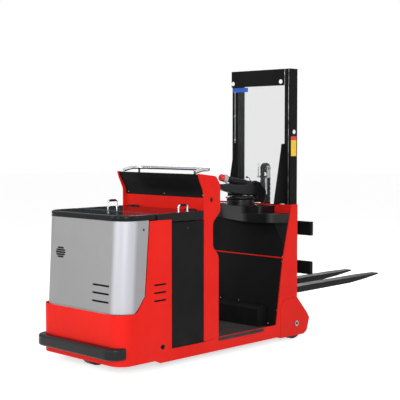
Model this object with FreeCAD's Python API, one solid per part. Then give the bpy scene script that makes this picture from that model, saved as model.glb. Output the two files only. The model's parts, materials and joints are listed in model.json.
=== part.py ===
"""Low-level order picker truck with a rider platform and a fixed single-stage mast.

Each sub-part is written to parts/NODE.step, in millimetres.
+X points forward to the fork tips, +Y to the truck's left, +Z up.
The shapes are drawn with x = 0 at the rear face of the skirt, y = 0 on the
centre plane and z = 0 on the floor. On saving they are moved along X, so that
the origin lies at the centre of the footprint from bumper to fork tips.
"""
import os

import FreeCAD
import Part

from math import cos, pi, sin, tan

Vec = FreeCAD.Vector

# Driving dimensions: chassis
half_width = 420.0            # centre plane to the outer face of the side plates
side_plate = 10.0             # thickness of the side plates
sheet = 6.0                   # folded sheets: bulkheads, covers
far_rear = -200.0             # where cutting outlines start, well behind the bumper
seat_gap = 0.3                # between two fixed pieces that seat on each other
move_gap = 5.0                # between a moving piece and what it passes
floor_bottom = 100.0          # underside of the floor plate
floor_plate = 12.0
rail_bottom = 41.0            # underside of the side rails
rail_top = 123.0              # rail under the battery doors
sill_top = 135.0              # step into the rider's compartment
floor_front = 1530.0          # front edge of the floor plate under the rider

# Driving dimensions: rear skirt and hood
skirt_wall = 8.0
skirt_bottom = 62.0
skirt_top = 394.0
skirt_corner = 95.0           # radius of the rear corners in plan
skirt_drop_x = (300.0, 350.0)  # where the lower edge steps down to the side rails
post_front = 453.0            # front edge of the post beside the battery door
post_top = 984.0
post_corner = 28.0
hood_inset = 8.0              # hood's outer face behind the skirt's outer face
hood_wall = 5.0
hood_corner = 122.0
hood_rake = 34.0              # how far the rear face leans forward over its height
hood_top = 992.0
hood_edge_top = 262.0         # x of the hood's front edge at its top
hood_chamfer = ((142.0, skirt_top), (222.0, 500.0))
hood_gap = 5.6                # between the hood and the posts, square to their edge
grille_y = 221.0
grille_z = 752.0
slot_rows = (562.0, 510.0, 457.0)   # slots in the posts
cap_height = 34.0
cap_front = 312.0

# Driving dimensions: battery bay
pillar_rear = 760.0
door_thickness = 12.0
door_top = 961.0
knuckle_radius = 4.0          # piano hinges of the doors and the hood
knuckle_count = 5
knuckle_gap = 0.4             # along the hinge, and round each knuckle
lid_rear = 325.0
lid_top = 1025.0
lid_wall = 5.0
lid_low = 968.0               # lower edge of the lid beside the doors
hinge_radius = 6.0            # knuckles of the lid's two hinges
hinge_pin = 2.5
hinge_y = (240.0, 285.0, 305.0, 350.0)   # lid knuckle, fixed knuckle, lid knuckle, outwards
handle_x = 612.0
handle_inset = 56.0           # bail handle's plane inside the outer face
handle_length = 96.0
handle_rise = 50.0
handle_rod = 6.0              # radius of the bail rod
battery_margin = 14.0         # battery block inside its bay
battery_top = 940.0

# Driving dimensions: pillar behind the rider
pillar_depth_low = 145.0
pillar_depth_high = 160.0
notch_depth = 87.0            # front sheet and pad behind the pillar's front edge
notch_low = 760.0
notch_high = 1000.0
pillar_top_front = 1258.0
pillar_top_rear = 1279.0
flare_reach = 56.0            # how far the top leans back over the battery lid
flare_start = 1150.0
back_recess = 25.0            # rear sheet inside the side plates' rear edges
trim_low = 1110.0
pad_thickness = 34.0
pad_low = 640.0
pad_high = 1060.0
pad_inset = 90.0
rail_tube = 12.5              # radius of the tube rail
rail_inset = 54.0
rail_reach = 124.0            # its front run ahead of the pillar's rear edge
rail_height = 1303.0

# Driving dimensions: front end
front_edge = 1770.0           # front edge of the side plates
slope_low = (1529.0, 135.0)   # inclined rear edge of the front side panels
slope_seam = (1605.0, 622.0)
slope_high = (1693.0, 972.0)
panel_top = 1022.0
wall_recess = 12.0            # front wall behind that inclined edge
seam_height = 9.0
bulkhead_top = 1015.0
toe_rear = 1449.0
toe_top = 260.0
toe_right = -305.0
console_low = 885.0
console_step = 950.0
console_top = 1005.0
pocket_rise = 68.0            # corner pocket's lower tip over the seam
pocket_width = 112.0
pocket_depth = 52.0

# Driving dimensions: wheels
load_x = 1756.0
load_radius = 120.0
load_width = 78.0
load_inset = 60.0             # wheel's centre plane inside the side plates
cheek_inset = (114.0, 104.0)  # inner cheek of the wheel box
load_hub = 84.0
axle_radius = 15.0
running_gap = 0.05            # radial clearance of a shaft in its bore
cover_proud = 3.0
cover_top = 318.0
cover_rear = 1575.0
drive_x = 150.0
drive_radius = 115.0
drive_width = 74.0
drive_hub = 78.0
steer_plate = (330.0, 342.0)  # bottom and top of the plate that carries the drive
steer_hole = 96.0
motor_top = 640.0

# Driving dimensions: bumper
bumper_reach = 60.0
bumper_low = 108.0
bumper_high = 185.0
bumper_wrap = 47.0            # x at which its ends stop on the sides
bumper_proud = 4.0
bumper_corner = 98.0

# Driving dimensions: mast and lift
mast_rear = 1828.0
mast_depth = 80.0
mast_inset = 119.0            # outer face of the uprights inside the side plates
mast_bottom = 60.0
mast_top = 2048.0
flange_width = 60.0
flange = 10.0
crossbar_height = 125.0
gusset_top = 1476.0
bracket_z = ((180.0, 300.0), (780.0, 900.0))
crossbar = 11.0
guard = 5.0
lift_x = 1886.0               # axis of the lift cylinder
barrel_radius = 24.0
barrel_top = 1075.0
rod_radius = 15.0
yoke_half = (26.0, 34.0)      # inner and outer face of the yoke's cheeks
yoke_foot = (74.0, 60.0)      # its foot plate below the pulley's axis
yoke_reach = 20.0             # cheeks ahead of and behind that axis
pulley_pin = 10.0
hose_guide = (26.0, 50.0, 4.0)   # thin post beside the yoke: behind the axis, to the left, radius
rod_low = 430.0               # lower end of the rod, which stays in the barrel over the whole lift
lower_travel = 125.0          # from the pose in the photo down to the lowest forks
pulley_z = 1282.0
pulley_radius = 29.0
pulley_flange = 37.0          # rim that keeps the chain on the pulley
chain_low = 300.0             # where the rear run of the chain is pinned to the barrel
chain_thick = 14.0
chain_width = 34.0
chain_pitch = 25.4
chain_core = 6.0              # half the width of the inner stack of link plates
link_tip = 6.0                # link plate beyond its pins
bar_rear = 1936.0             # rear face of the fork bars
bar_thick = 30.0
bar_half = 415.0
anchor_z = 560.0              # where the chain is pinned to the carriage
upper_bar = (772.0, 878.0)
lower_bar = (472.0, 572.0)
plate_inset = (36.0, 21.0)    # carriage side plates inside the uprights' inner edges
roller_radius = 28.5
fork_y = 144.0
fork_width = 100.0
fork_thick = 40.0
fork_top = 343.0
fork_heel = 50.0              # thickness of the blade at the heel
fork_tip = 3218.0
fork_tip_thick = 12.0
fork_tip_width = 56.0

# Driving dimensions: tiller
turret = (1606.0, 12.0)
turret_radius = 107.0
turret_height = 50.0
tiller_turn = 18.0            # the grip points rear and a little to the left
arm_half = 36.0               # half the width of the moulded arm
arm_outline = (               # reach from the turret's axis, height over its top, corner radius
    (-176.0, 117.0, 12.0), (-176.0, 69.0, 16.0), (-77.0, 39.0, 120.0), (60.0, 22.0, 60.0),
    (124.0, 22.0, 10.0), (124.0, -5.0, 0.0), (80.0, -5.0, 0.0), (80.0, -33.0, 0.0),
    (196.0, -33.0, 18.0), (212.0, 5.0, 60.0), (208.0, 65.0, 60.0), (165.0, 121.0, 60.0),
    (110.0, 140.0, 40.0), (30.0, 108.0, 60.0))
grip_line = ((74.0, 110.0, 26.0), (-118.0, 152.0, 21.0))   # reach, height, radius at its two ends
head_radius = 31.0
button_radius = 28.0

# Worked out from the above
origin_x = (fork_tip - bumper_reach) / 2.0
inner_half = half_width - side_plate
handle_y = half_width - handle_inset
notch_x = pillar_rear + notch_depth
pillar_front_low = pillar_rear + pillar_depth_low
pillar_front_high = pillar_rear + pillar_depth_high
pillar_top_x = pillar_rear + 118.0
pad_half = half_width - pad_inset
rail_half = half_width - rail_inset
rail_front = pillar_rear + rail_reach
load_y = half_width - load_inset
inner_cheek = (half_width - cheek_inset[0], half_width - cheek_inset[1])
mast_half = half_width - mast_inset
flange_in = mast_half - flange_width
plate_y = (flange_in - plate_inset[0], flange_in - plate_inset[1])
floor_top = floor_bottom + floor_plate
mast_front = mast_rear + mast_depth
mast_mid = mast_rear + mast_depth / 2.0
bar_front = bar_rear + bar_thick


# Small helpers

def box(x, y, z):
    """Box from three (low, high) pairs."""
    return Part.makeBox(x[1] - x[0], y[1] - y[0], z[1] - z[0], Vec(x[0], y[0], z[0]))


def rod(start, end, radius):
    """Cylinder between two points."""
    a, b = Vec(*start), Vec(*end)
    return Part.makeCylinder(radius, (b - a).Length, a, b - a)


def ring(start, end, outer, inner):
    return rod(start, end, outer).cut(rod(start, end, inner))


def fuse(shapes):
    whole = shapes[0]
    for shape in shapes[1:]:
        whole = whole.fuse(shape)
    return whole.removeSplitter()


def both_sides(shape):
    """The shape and its mirror image across the centre plane."""
    return Part.makeCompound([shape, mirrored(shape)])


def mirrored(shape):
    return shape.mirror(Vec(0, 0, 0), Vec(0, 1, 0))


def rounded_edges(points, closed=True):
    """Edges through (x, y, z, radius) corners, each corner rounded by a tangent arc."""
    count = len(points)
    edges, last, first = [], None, None
    for i, (x, y, z, radius) in enumerate(points):
        corner = Vec(x, y, z)
        inner = closed or 0 < i < count - 1
        if not inner or radius <= 0:
            arc = (corner, None, corner)
        else:
            back = (Vec(*points[i - 1][:3]) - corner).normalize()
            ahead = (Vec(*points[(i + 1) % count][:3]) - corner).normalize()
            half = back.getAngle(ahead) / 2.0
            reach = radius / tan(half)
            middle = (back + ahead).normalize()
            arc = (corner + back * reach,
                   corner + middle * (radius / sin(half) - radius),
                   corner + ahead * reach)
        if last is None:
            first = arc[0]
        elif (arc[0] - last).Length > 1e-6:
            edges.append(Part.makeLine(last, arc[0]))
        if arc[1] is not None:
            edges.append(Part.Arc(*arc).toShape())
        last = arc[2]
    if closed and (first - last).Length > 1e-6:
        edges.append(Part.makeLine(last, first))
    return edges


def side_prism(outline, y):
    """Outline of (x, z, radius) corners, carried from y[0] to y[1]."""
    corners = [(px, y[0], pz, radius) for px, pz, radius in outline]
    face = Part.Face(Part.Wire(rounded_edges(corners)))
    return face.extrude(Vec(0, y[1] - y[0], 0))


def plan_prism(outline, z):
    """Outline of (x, y, radius) corners, carried from z[0] to z[1]."""
    corners = [(px, py, z[0], radius) for px, py, radius in outline]
    face = Part.Face(Part.Wire(rounded_edges(corners)))
    return face.extrude(Vec(0, 0, z[1] - z[0]))


def u_outline(rear, half, corner, front):
    """Plan of a body with a straight rear, two rounded rear corners and a cut front."""
    return [(front, -half, 0), (rear, -half, corner), (rear, half, corner), (front, half, 0)]


def u_wire(rear, half, corner, front, z):
    corners = [(px, py, z, r) for px, py, r in u_outline(rear, half, corner, front)]
    return Part.Wire(rounded_edges(corners))


def tube(points, radius):
    """Round bar along (x, y, z, bend radius) corners."""
    edges = rounded_edges(points, closed=False)
    path = Part.Wire(edges)
    start = Vec(*points[0][:3])
    heading = Vec(*points[1][:3]) - start
    profile = Part.Wire(Part.makeCircle(radius, start, heading))
    return path.makePipeShell([profile], True, False)


def slot_x(z, x, height, y):
    """Round-ended slot along X, cut through in Y."""
    r = height / 2.0
    return fuse([box((x[0] + r, x[1] - r), y, (z - r, z + r)),
                 rod((x[0] + r, y[0], z), (x[0] + r, y[1], z), r),
                 rod((x[1] - r, y[0], z), (x[1] - r, y[1], z), r)])


def slot_y(z, y, height, x):
    """Round-ended slot along Y, cut through in X."""
    r = height / 2.0
    return fuse([box(x, (y[0] + r, y[1] - r), (z - r, z + r)),
                 rod((x[0], y[0] + r, z), (x[1], y[0] + r, z), r),
                 rod((x[0], y[1] - r, z), (x[1], y[1] - r, z), r)])


def hinge_line(start, end, radius):
    """Knuckles along a piano hinge, dealt in turn to its fixed and its moving side."""
    first, step = Vec(*start), (Vec(*end) - Vec(*start)) / knuckle_count
    slack = Vec(step).normalize() * knuckle_gap
    sides = ([], [])
    for i in range(knuckle_count):
        a, b = first + step * i + slack, first + step * (i + 1) - slack
        sides[i % 2].append(rod(a, b, radius))
    return sides


def hinged(fixed, moving, start, end):
    """Fuses the knuckles to the two plates that they join, and clears each plate round the other's."""
    knuckles = hinge_line(start, end, knuckle_radius)
    room = hinge_line(start, end, knuckle_radius + knuckle_gap)
    return (fixed.cut(room[1]).fuse(knuckles[0]).removeSplitter(),
            moving.cut(room[0]).fuse(knuckles[1]).removeSplitter())


def link(a, b, y):
    """Eight-sided link plate between two pins, each (x, z)."""
    start, end = Vec(a[0], y[0], a[1]), Vec(b[0], y[0], b[1])
    along = (end - start).normalize()
    across = Vec(-along.z, 0, along.x)
    half, corner = chain_thick / 2.0, chain_thick / 4.0
    points = []
    for centre, way in ((start, -1.0), (end, 1.0)):
        for back, side in ((corner - link_tip, way), (-link_tip, 0.5 * way), (-link_tip, -0.5 * way),
                           (corner - link_tip, -way)):
            points.append(centre - along * (way * back) - across * (side * half))
    return Part.Face(Part.makePolygon(points + points[:1])).extrude(Vec(0, y[1] - y[0], 0))


def strand(pins, first=0):
    """Leaf chain through the pins; its links lie in turn at the outside and in the middle."""
    outer = chain_width / 2.0
    lays = (((-outer, -chain_core), (chain_core, outer)), ((-chain_core, chain_core),))
    links = [link(a, b, y) for i, (a, b) in enumerate(zip(pins, pins[1:])) for y in lays[(first + i) % 2]]
    return links[0].multiFuse(links[1:]).removeSplitter()


os.makedirs("parts", exist_ok=True)


def save(node, shape):
    shape = shape.copy()
    shape.translate(Vec(-origin_x, 0, 0))
    shape.exportStep("parts/" + node + ".step")


# Rear shell: bent skirt with the two posts beside the battery doors
hood_split = [(far_rear, skirt_top, 0), (hood_chamfer[0][0], skirt_top, 30),
              (hood_chamfer[1][0], hood_chamfer[1][1], 40),
              (hood_edge_top, hood_top, 0), (hood_edge_top, hood_top + 200.0, 0),
              (far_rear, hood_top + 200.0, 0)]
through = (-half_width - 50.0, half_width + 50.0)
shell = plan_prism(u_outline(0.0, half_width, skirt_corner, post_front), (rail_bottom, post_top))
shell = shell.cut(plan_prism(u_outline(skirt_wall, half_width - skirt_wall,
                                       skirt_corner - skirt_wall, post_front + 50.0),
                             (rail_bottom - 5.0, post_top + 5.0)))
shell = shell.cut(side_prism(hood_split, through))
shell = shell.cut(side_prism([(-50.0, rail_bottom - 5.0, 0), (skirt_drop_x[1], rail_bottom - 5.0, 0),
                              (skirt_drop_x[1], rail_bottom, 0), (skirt_drop_x[0], skirt_bottom, 0),
                              (-50.0, skirt_bottom, 0)], through))
corner_cut = side_prism([(post_front - post_corner, post_top, 0), (post_front + 5.0, post_top, 0),
                         (post_front + 5.0, post_top + 5.0, 0),
                         (post_front - post_corner, post_top + 5.0, 0)], through)
shell = shell.cut(corner_cut)
for z in slot_rows:
    shell = shell.cut(slot_x(z, (post_front - 158.0, post_front - 51.0), 8.0, through))
tow_hole = slot_x(146.0, (354.0, 388.0), 26.0, through)
shell = shell.cut(tow_hole)

# Side frames: one plate a side, with rail, pillar and front panel
cover_outline = [(cover_rear, 30.0, 0), (cover_rear, 262.0, 0), (cover_rear + 37.0, cover_top - 4.0, 60),
                 (load_x + 12.0, cover_top, 20), (load_x + 132.0, 188.0, 40), (load_x + 160.0, 145.0, 20),
                 (load_x + 129.0, 49.0, 20), (load_x + 93.0, 28.0, 0)]
frame_outline = [
    (post_front + seat_gap, rail_bottom, 0),
    (front_edge, rail_bottom, 0),
    (front_edge, panel_top, 6),
    (slope_high[0] + 10.0, panel_top, 10),
    (slope_high[0], slope_high[1], 20),
    (slope_seam[0], slope_seam[1], 300),
    (slope_low[0], slope_low[1], 10),
    (pillar_front_low, sill_top, 6),
    (pillar_front_low, notch_low - 55.0, 60),
    (notch_x, notch_low + 10.0, 60),
    (notch_x, notch_high - 60.0, 55),
    (pillar_front_high, notch_high + 15.0, 55),
    (pillar_front_high, 1200.0, 60),
    (pillar_top_x, pillar_top_front, 40),
    (pillar_rear - flare_reach, pillar_top_rear, 4),
    (pillar_rear - flare_reach + 14.0, 1238.0, 70),
    (pillar_rear, flare_start, 90),
    (pillar_rear, rail_top, 4),
    (post_front + seat_gap, rail_top, 0)]
frame_plate = side_prism(frame_outline, (-half_width, -inner_half))
grown = [(cover_rear - seat_gap, 0.0, 0), (cover_rear - seat_gap, 262.0, 0),
         (cover_rear + 37.0, cover_top - 4.0 + seat_gap, 60), (load_x + 12.0, cover_top + seat_gap, 20),
         (load_x + 132.0, 188.0, 0), (load_x + 132.0, 0.0, 0)]
frame_plate = frame_plate.cut(side_prism(grown, (-half_width - 5.0, -inner_half + 5.0)))
pillar_hole = (pillar_rear + 74.0, 1097.0)
frame_plate = frame_plate.cut(rod((pillar_hole[0], -half_width - 5.0, pillar_hole[1]),
                                  (pillar_hole[0], -inner_half + 5.0, pillar_hole[1]), 16.0))
door_low = rail_top + seat_gap
door_edge = [(x, -half_width, door_low) for x in (post_front + 2 * move_gap, pillar_rear - 2 * move_gap)]
door = box((post_front + move_gap, pillar_rear - move_gap),
           (-half_width, -half_width + door_thickness), (door_low, door_top))
frame_plate, door = hinged(frame_plate, door, *door_edge)
save("side_frame_right", frame_plate)
save("side_frame_left", mirrored(frame_plate))

# Underframe: drive plate, bay bulkhead, battery tray, floor and cross members
inner = half_width - skirt_wall - seat_gap
drive_plate = plan_prism(u_outline(skirt_wall + seat_gap, inner, skirt_corner - skirt_wall, post_front),
                         steer_plate)
drive_plate = drive_plate.cut(rod((drive_x, 0, steer_plate[0] - 5.0), (drive_x, 0, steer_plate[1] + 5.0),
                                  steer_hole))
bay_rear = post_front
bay_front = pillar_rear + back_recess
width = inner_half - seat_gap
underframe = fuse([
    drive_plate,
    box((bay_rear - sheet, bay_rear), (-inner, inner), (rail_bottom + 8.0, lid_low - 8.0)),
    box((bay_rear, floor_front), (-width, width), (floor_bottom, floor_top)),
    box((bay_rear, floor_front), (-300.0, -292.0), (rail_bottom + 8.0, floor_bottom)),
    box((bay_rear, floor_front), (292.0, 300.0), (rail_bottom + 8.0, floor_bottom)),
    box((bay_front, bay_front + sheet), (-width, width), (rail_bottom + 8.0, floor_bottom)),
    box((floor_front - sheet, floor_front), (-width, width), (rail_bottom + 8.0, floor_bottom))])
save("underframe", underframe)

# Battery block on its tray
battery = box((bay_rear + battery_margin, pillar_rear + back_recess - battery_margin),
              (-inner_half + battery_margin, inner_half - battery_margin),
              (floor_top, battery_top))
save("battery", battery)

# Battery doors, hinged along their lower outer edge
door = door.cut(rod((handle_x, -half_width - 5.0, 917.0), (handle_x, -half_width + 6.0, 917.0), 12.0))
save("battery_door_right", door)
save("battery_door_left", mirrored(door))

# Battery lid with its two bail handles
lid_front = pillar_rear - move_gap
lid_high = post_top + seat_gap
lid_half = half_width - 3.0
lid = fuse([box((lid_rear, lid_front), (-lid_half, lid_half), (lid_high, lid_top)),
            box((post_front + 8.0, lid_front), (-lid_half, lid_half), (lid_low, lid_high))])
lid = lid.makeFillet(9.0, [e for e in lid.Edges
                           if abs(e.BoundBox.ZMin - lid_top) < 0.01 and e.BoundBox.XMin < lid_front - 1.0])
lid = lid.cut(box((lid_rear + lid_wall, lid_front - lid_wall), (-lid_half + lid_wall, lid_half - lid_wall),
                  (lid_low - 5.0, lid_top - lid_wall)))
hinge_z = lid_top + 2.0
knuckles = [ring((lid_front, y0, hinge_z), (lid_front, y1, hinge_z), hinge_radius, hinge_pin + running_gap)
            for y0, y1 in (hinge_y[0:2], hinge_y[2:4])]
bores = [rod((lid_front, y0, hinge_z), (lid_front, y1, hinge_z), hinge_pin + running_gap)
         for y0, y1 in (hinge_y[0:2], hinge_y[2:4])]
for knuckle, bore in zip(knuckles, bores):
    lid = lid.fuse([knuckle, mirrored(knuckle)]).cut(bore.fuse(mirrored(bore)))
lid = lid.cut(both_sides(box((lid_front - hinge_radius - 1.0, lid_front + 1.0), hinge_y[1:3],
                             (hinge_z - hinge_radius - 1.0, hinge_z + hinge_radius))))
save("battery_lid", lid)
fixed_y = (hinge_y[1] + 1.0, hinge_y[2] - 1.0)
hinge = fuse([rod((lid_front, fixed_y[0], hinge_z), (lid_front, fixed_y[1], hinge_z), hinge_radius),
              box((lid_front, pillar_rear + back_recess - seat_gap), fixed_y,
                  (hinge_z - hinge_radius, hinge_z + hinge_radius)),
              rod((lid_front, hinge_y[0], hinge_z), (lid_front, hinge_y[3], hinge_z), hinge_pin)])
save("lid_hinges", both_sides(hinge))
half_bail = handle_length / 2.0 - handle_rod
bail = tube([(handle_x - half_bail, -handle_y, lid_top + seat_gap, 0),
             (handle_x - half_bail, -handle_y, lid_top + handle_rise - handle_rod, 14.0),
             (handle_x + half_bail, -handle_y, lid_top + handle_rise - handle_rod, 14.0),
             (handle_x + half_bail, -handle_y, lid_top + seat_gap, 0)], handle_rod)
save("lid_handles", both_sides(bail))

# Hood: raked cowl and its black top cap, tilting back about the lower rear edge
hood_low = skirt_top + seat_gap
hood_half = half_width - hood_inset
hinge_end = half_width - hood_corner - 18.0
hood_axis = (2.0, hood_low)
outer = Part.makeLoft([u_wire(hood_inset, hood_half, hood_corner, cap_front, hood_low),
                       u_wire(hood_inset + hood_rake, hood_half, hood_corner, cap_front, hood_top)], True, True)
inside = Part.makeLoft([u_wire(hood_inset + hood_wall, hood_half - hood_wall, hood_corner - hood_wall,
                               cap_front + 50.0, hood_low - 0.1),
                        u_wire(hood_inset + hood_wall + hood_rake, hood_half - hood_wall,
                               hood_corner - hood_wall, cap_front + 50.0, hood_top + 0.1)], True, True)
keep = [(far_rear, hood_low, 0), (hood_chamfer[0][0] - 1.25 * hood_gap, hood_low, 30),
        (hood_chamfer[1][0] - hood_gap, hood_chamfer[1][1] + 0.4 * hood_gap, 40),
        (hood_edge_top - hood_gap, hood_top, 0), (far_rear, hood_top, 0)]
cowl = outer.cut(inside).common(side_prism(keep, through))
for z in slot_rows:
    cowl = cowl.cut(slot_y(z + 9.0, (-293.0, -130.0), 8.0, (-50.0, 100.0)))
for row, half in ((-2, 30.0), (-1, 44.0), (0, 50.0), (1, 44.0), (2, 30.0)):
    cowl = cowl.cut(slot_y(grille_z + 15.0 * row, (grille_y - half, grille_y + half), 6.0, (-50.0, 100.0)))
cowl = cowl.cut(rod((212.0, -half_width - 5.0, 930.0), (212.0, half_width + 5.0, 930.0), 9.0))
leaf = box((hood_axis[0], hood_inset + 1.0), (-hinge_end, hinge_end), (hood_low, hood_low + knuckle_radius))
shell, cowl = hinged(shell, cowl.fuse(leaf),
                     *[(hood_axis[0], y, hood_axis[1]) for y in (-hinge_end, hinge_end)])
save("rear_shell", shell)
save("hood_cowl", cowl)
cap = plan_prism(u_outline(hood_inset + hood_rake - 3.0, hood_half + 3.0, hood_corner + 3.0, cap_front),
                 (hood_top, hood_top + cap_height))
cap = cap.makeFillet(14.0, [e for e in cap.Edges if abs(e.BoundBox.ZMin - hood_top - cap_height) < 0.01])
cap = cap.cut(plan_prism(u_outline(hood_inset + hood_rake + 6.0, hood_half - 8.0, hood_corner - 8.0,
                                   cap_front - 6.0), (hood_top - 5.0, hood_top + cap_height - 7.0)))
save("hood_cap", cap)

# Bumper round the rear
bumper = plan_prism(u_outline(-bumper_reach, half_width + bumper_proud, bumper_corner, bumper_wrap),
                    (bumper_low, bumper_high))
bumper = bumper.makeFillet(16.0, [e for e in bumper.Edges
                                  if e.BoundBox.ZLength < 0.01 and e.BoundBox.XMin < bumper_wrap - 1.0])
bumper = bumper.cut(plan_prism(u_outline(-seat_gap, half_width + seat_gap, skirt_corner + seat_gap,
                                         bumper_wrap + 50.0), (bumper_low - 5.0, bumper_high + 5.0)))
save("bumper", bumper)

# Pillar: rear sheet, front sheet, flared trim with top, pad and tube rail
back_x = pillar_rear + back_recess
save("pillar_back", box((back_x, back_x + sheet), (-width, width),
                        (floor_top + seat_gap, trim_low - seat_gap)))
front_sheet = box((notch_x - sheet, notch_x), (-width, width),
                  (floor_top + seat_gap, pillar_top_front - 20.0))
save("pillar_front", front_sheet)
trim_outline = [
    (back_x, trim_low, 0), (back_x + sheet, trim_low, 0),
    (back_x + sheet, flare_start + 8.0, 80),
    (pillar_rear - flare_reach + 38.0, 1240.0, 60),
    (pillar_rear - flare_reach + 30.0, pillar_top_rear - 12.0, 6),
    (pillar_top_x, pillar_top_front - 16.0, 0), (pillar_top_x, pillar_top_front - 6.0, 0),
    (pillar_rear - flare_reach + 8.0, pillar_top_rear - 3.0, 4),
    (pillar_rear - flare_reach + 24.0, 1238.0, 70),
    (back_x, flare_start, 90)]
trim = side_prism(trim_outline, (-width, width))
save("pillar_trim", trim)
pad = box((notch_x + seat_gap, notch_x + pad_thickness), (-pad_half, pad_half), (pad_low, pad_high))
pad = pad.makeFillet(14.0, [e for e in pad.Edges if e.BoundBox.XMin > notch_x + pad_thickness - 0.01])
save("backrest_pad", pad)
rail_foot = (pillar_rear - flare_reach + 20.0, pillar_top_rear + 8.0)
rail_rise = (rail_foot[0] + 76.0, rail_height)
rail = tube([(rail_foot[0], -rail_half, rail_foot[1], 0),
             (rail_rise[0], -rail_half, rail_rise[1], 80.0),
             (rail_front, -rail_half, rail_height, 48.0),
             (rail_front, rail_half, rail_height, 48.0),
             (rail_rise[0], rail_half, rail_rise[1], 80.0),
             (rail_foot[0], rail_half, rail_foot[1], 0)], rail_tube)
save("back_rail", rail)
stop_x, stop_y = pillar_rear + 43.0, pad_half - 45.0
stop = rod((stop_x, -stop_y, pillar_top_front - 2.0), (stop_x, -stop_y, rail_height - 8.0), 7.0)
save("rail_stops", both_sides(stop.cut(trim)))

# Rider's floor: mat, sill treads and the raised toe box
mat = box((notch_x + seat_gap, slope_low[0]), (-width + 8.0, width - 8.0), (floor_top, floor_top + 5.0))
mat = mat.cut(box((toe_rear - 1.0, floor_front + 5.0), (toe_right - 1.0, width), (floor_top - 1.0, 200.0)))
tread_front = slope_low[0] - 145.0
tread = side_prism([(pillar_front_low, 108.0, 0), (tread_front, 108.0, 14), (tread_front, 132.0, 8),
                    (pillar_front_low, 132.0, 0)], (-half_width - 3.0, -half_width))
save("floor_mat", Part.makeCompound([mat, tread, mirrored(tread)]))


def wall_x(z):
    """Rear face of the front wall at a height, set back from the inclined edge."""
    low, high = (slope_low, slope_seam) if z < slope_seam[1] else (slope_seam, slope_high)
    return low[0] + (high[0] - low[0]) * (z - low[1]) / (high[1] - low[1]) + wall_recess


toe = side_prism([(toe_rear, floor_top, 0), (toe_rear, toe_top, 18), (wall_x(toe_top) - 1.0, toe_top, 0),
                  (wall_x(floor_top) - 1.0, floor_top, 0)], (toe_right, width))
save("toe_box", toe)

# Front wall in two panels, with the red seam rail between them
walls = []
for low, high in ((floor_top, slope_seam[1]), (slope_seam[1] + seam_height, console_low)):
    walls.append(side_prism([(wall_x(low), low, 0), (wall_x(high), high, 0),
                             (wall_x(high) + sheet, high, 0), (wall_x(low) + sheet, low, 0)],
                            (-width, width)))
save("front_wall", Part.makeCompound(walls))
pocket_low, pocket_high = slope_seam[1] + pocket_rise, console_low - seat_gap
corners = [Vec(wall_x(pocket_low) - seat_gap, -width, pocket_low),
           Vec(wall_x(pocket_high) - seat_gap, -width, pocket_high),
           Vec(wall_x(pocket_high) - seat_gap, -width + pocket_width, pocket_high),
           Vec(wall_x(pocket_high) - pocket_depth, -width + pocket_width, pocket_high)]
sides = [Part.Face(Part.makePolygon([corners[i], corners[j], corners[k], corners[i]]))
         for i, j, k in ((0, 1, 2), (0, 1, 3), (0, 2, 3), (1, 2, 3))]
save("corner_pocket", Part.Solid(Part.Shell(sides)))
seam_x = wall_x(slope_seam[1])
between = inner_cheek[0] - seat_gap
bulkhead = fuse([
    box((front_edge - 8.0, front_edge), (-between, between), (floor_bottom - 12.0, bulkhead_top)),
    box((front_edge - 8.0, front_edge), (-width, width), (cover_top + seat_gap, bulkhead_top)),
    box((seam_x - 2.0, front_edge - 8.0), (-width, width), (slope_seam[1], slope_seam[1] + seam_height)),
    box((floor_front, front_edge - 8.0), (-between, between), (floor_bottom - 12.0, floor_bottom))])
save("mast_bulkhead", bulkhead)

# Console: rounded nose over the front wall, lower towards the right
console_front = front_edge - 8.0 - seat_gap
nose = [(console_front, width, 0), (front_edge - 68.0, width, 0), (front_edge - 70.0, width - 99.0, 30),
        (front_edge - 229.0, -84.0, 130), (front_edge - 210.0, -300.0, 120), (front_edge - 80.0, -width, 0),
        (console_front, -width, 0)]
high_nose = [(console_front, width, 0), (front_edge - 68.0, width, 0), (front_edge - 70.0, width - 99.0, 30),
             (front_edge - 225.0, -76.0, 100), (front_edge - 170.0, -200.0, 30), (console_front, -200.0, 0)]
console = fuse([plan_prism(nose, (console_low, console_step)),
                plan_prism(high_nose, (console_step, console_top))])
save("console", console)

# Wheel boxes beside the mast, with the load axles
outer_cheek = side_prism(cover_outline, (-half_width - cover_proud, -inner_half))
inner_plate = side_prism(cover_outline, (-inner_cheek[1], -inner_cheek[0]))
arch = side_prism(cover_outline, (-inner_half, -inner_cheek[1]))
arch_inside = [(cover_rear + sheet, -5.0, 0), (cover_rear + sheet, 259.0, 0),
               (cover_rear + 40.0, cover_top - 10.0, 54), (load_x + 9.0, cover_top - 6.0, 14),
               (load_x + 126.0, 185.0, 34), (load_x + 153.0, 145.0, 14), (load_x + 124.0, 53.0, 14),
               (load_x + 102.0, -5.0, 0)]
arch = arch.cut(side_prism(arch_inside, (-inner_half - 5.0, -inner_cheek[1] + 5.0)))
wheel_box = fuse([outer_cheek, inner_plate, arch])
wheel_box = wheel_box.cut(rod((load_x, -half_width - 10.0, load_radius), (load_x, -200.0, load_radius),
                              axle_radius))
save("wheel_boxes", both_sides(wheel_box))
axle = fuse([rod((load_x, -half_width - cover_proud - 4.0, load_radius),
                 (load_x, -inner_cheek[0], load_radius), axle_radius),
             rod((load_x, -half_width - cover_proud - 8.0, load_radius),
                 (load_x, -half_width - cover_proud, load_radius), axle_radius + 6.0)])
save("load_axles", both_sides(axle))

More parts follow.
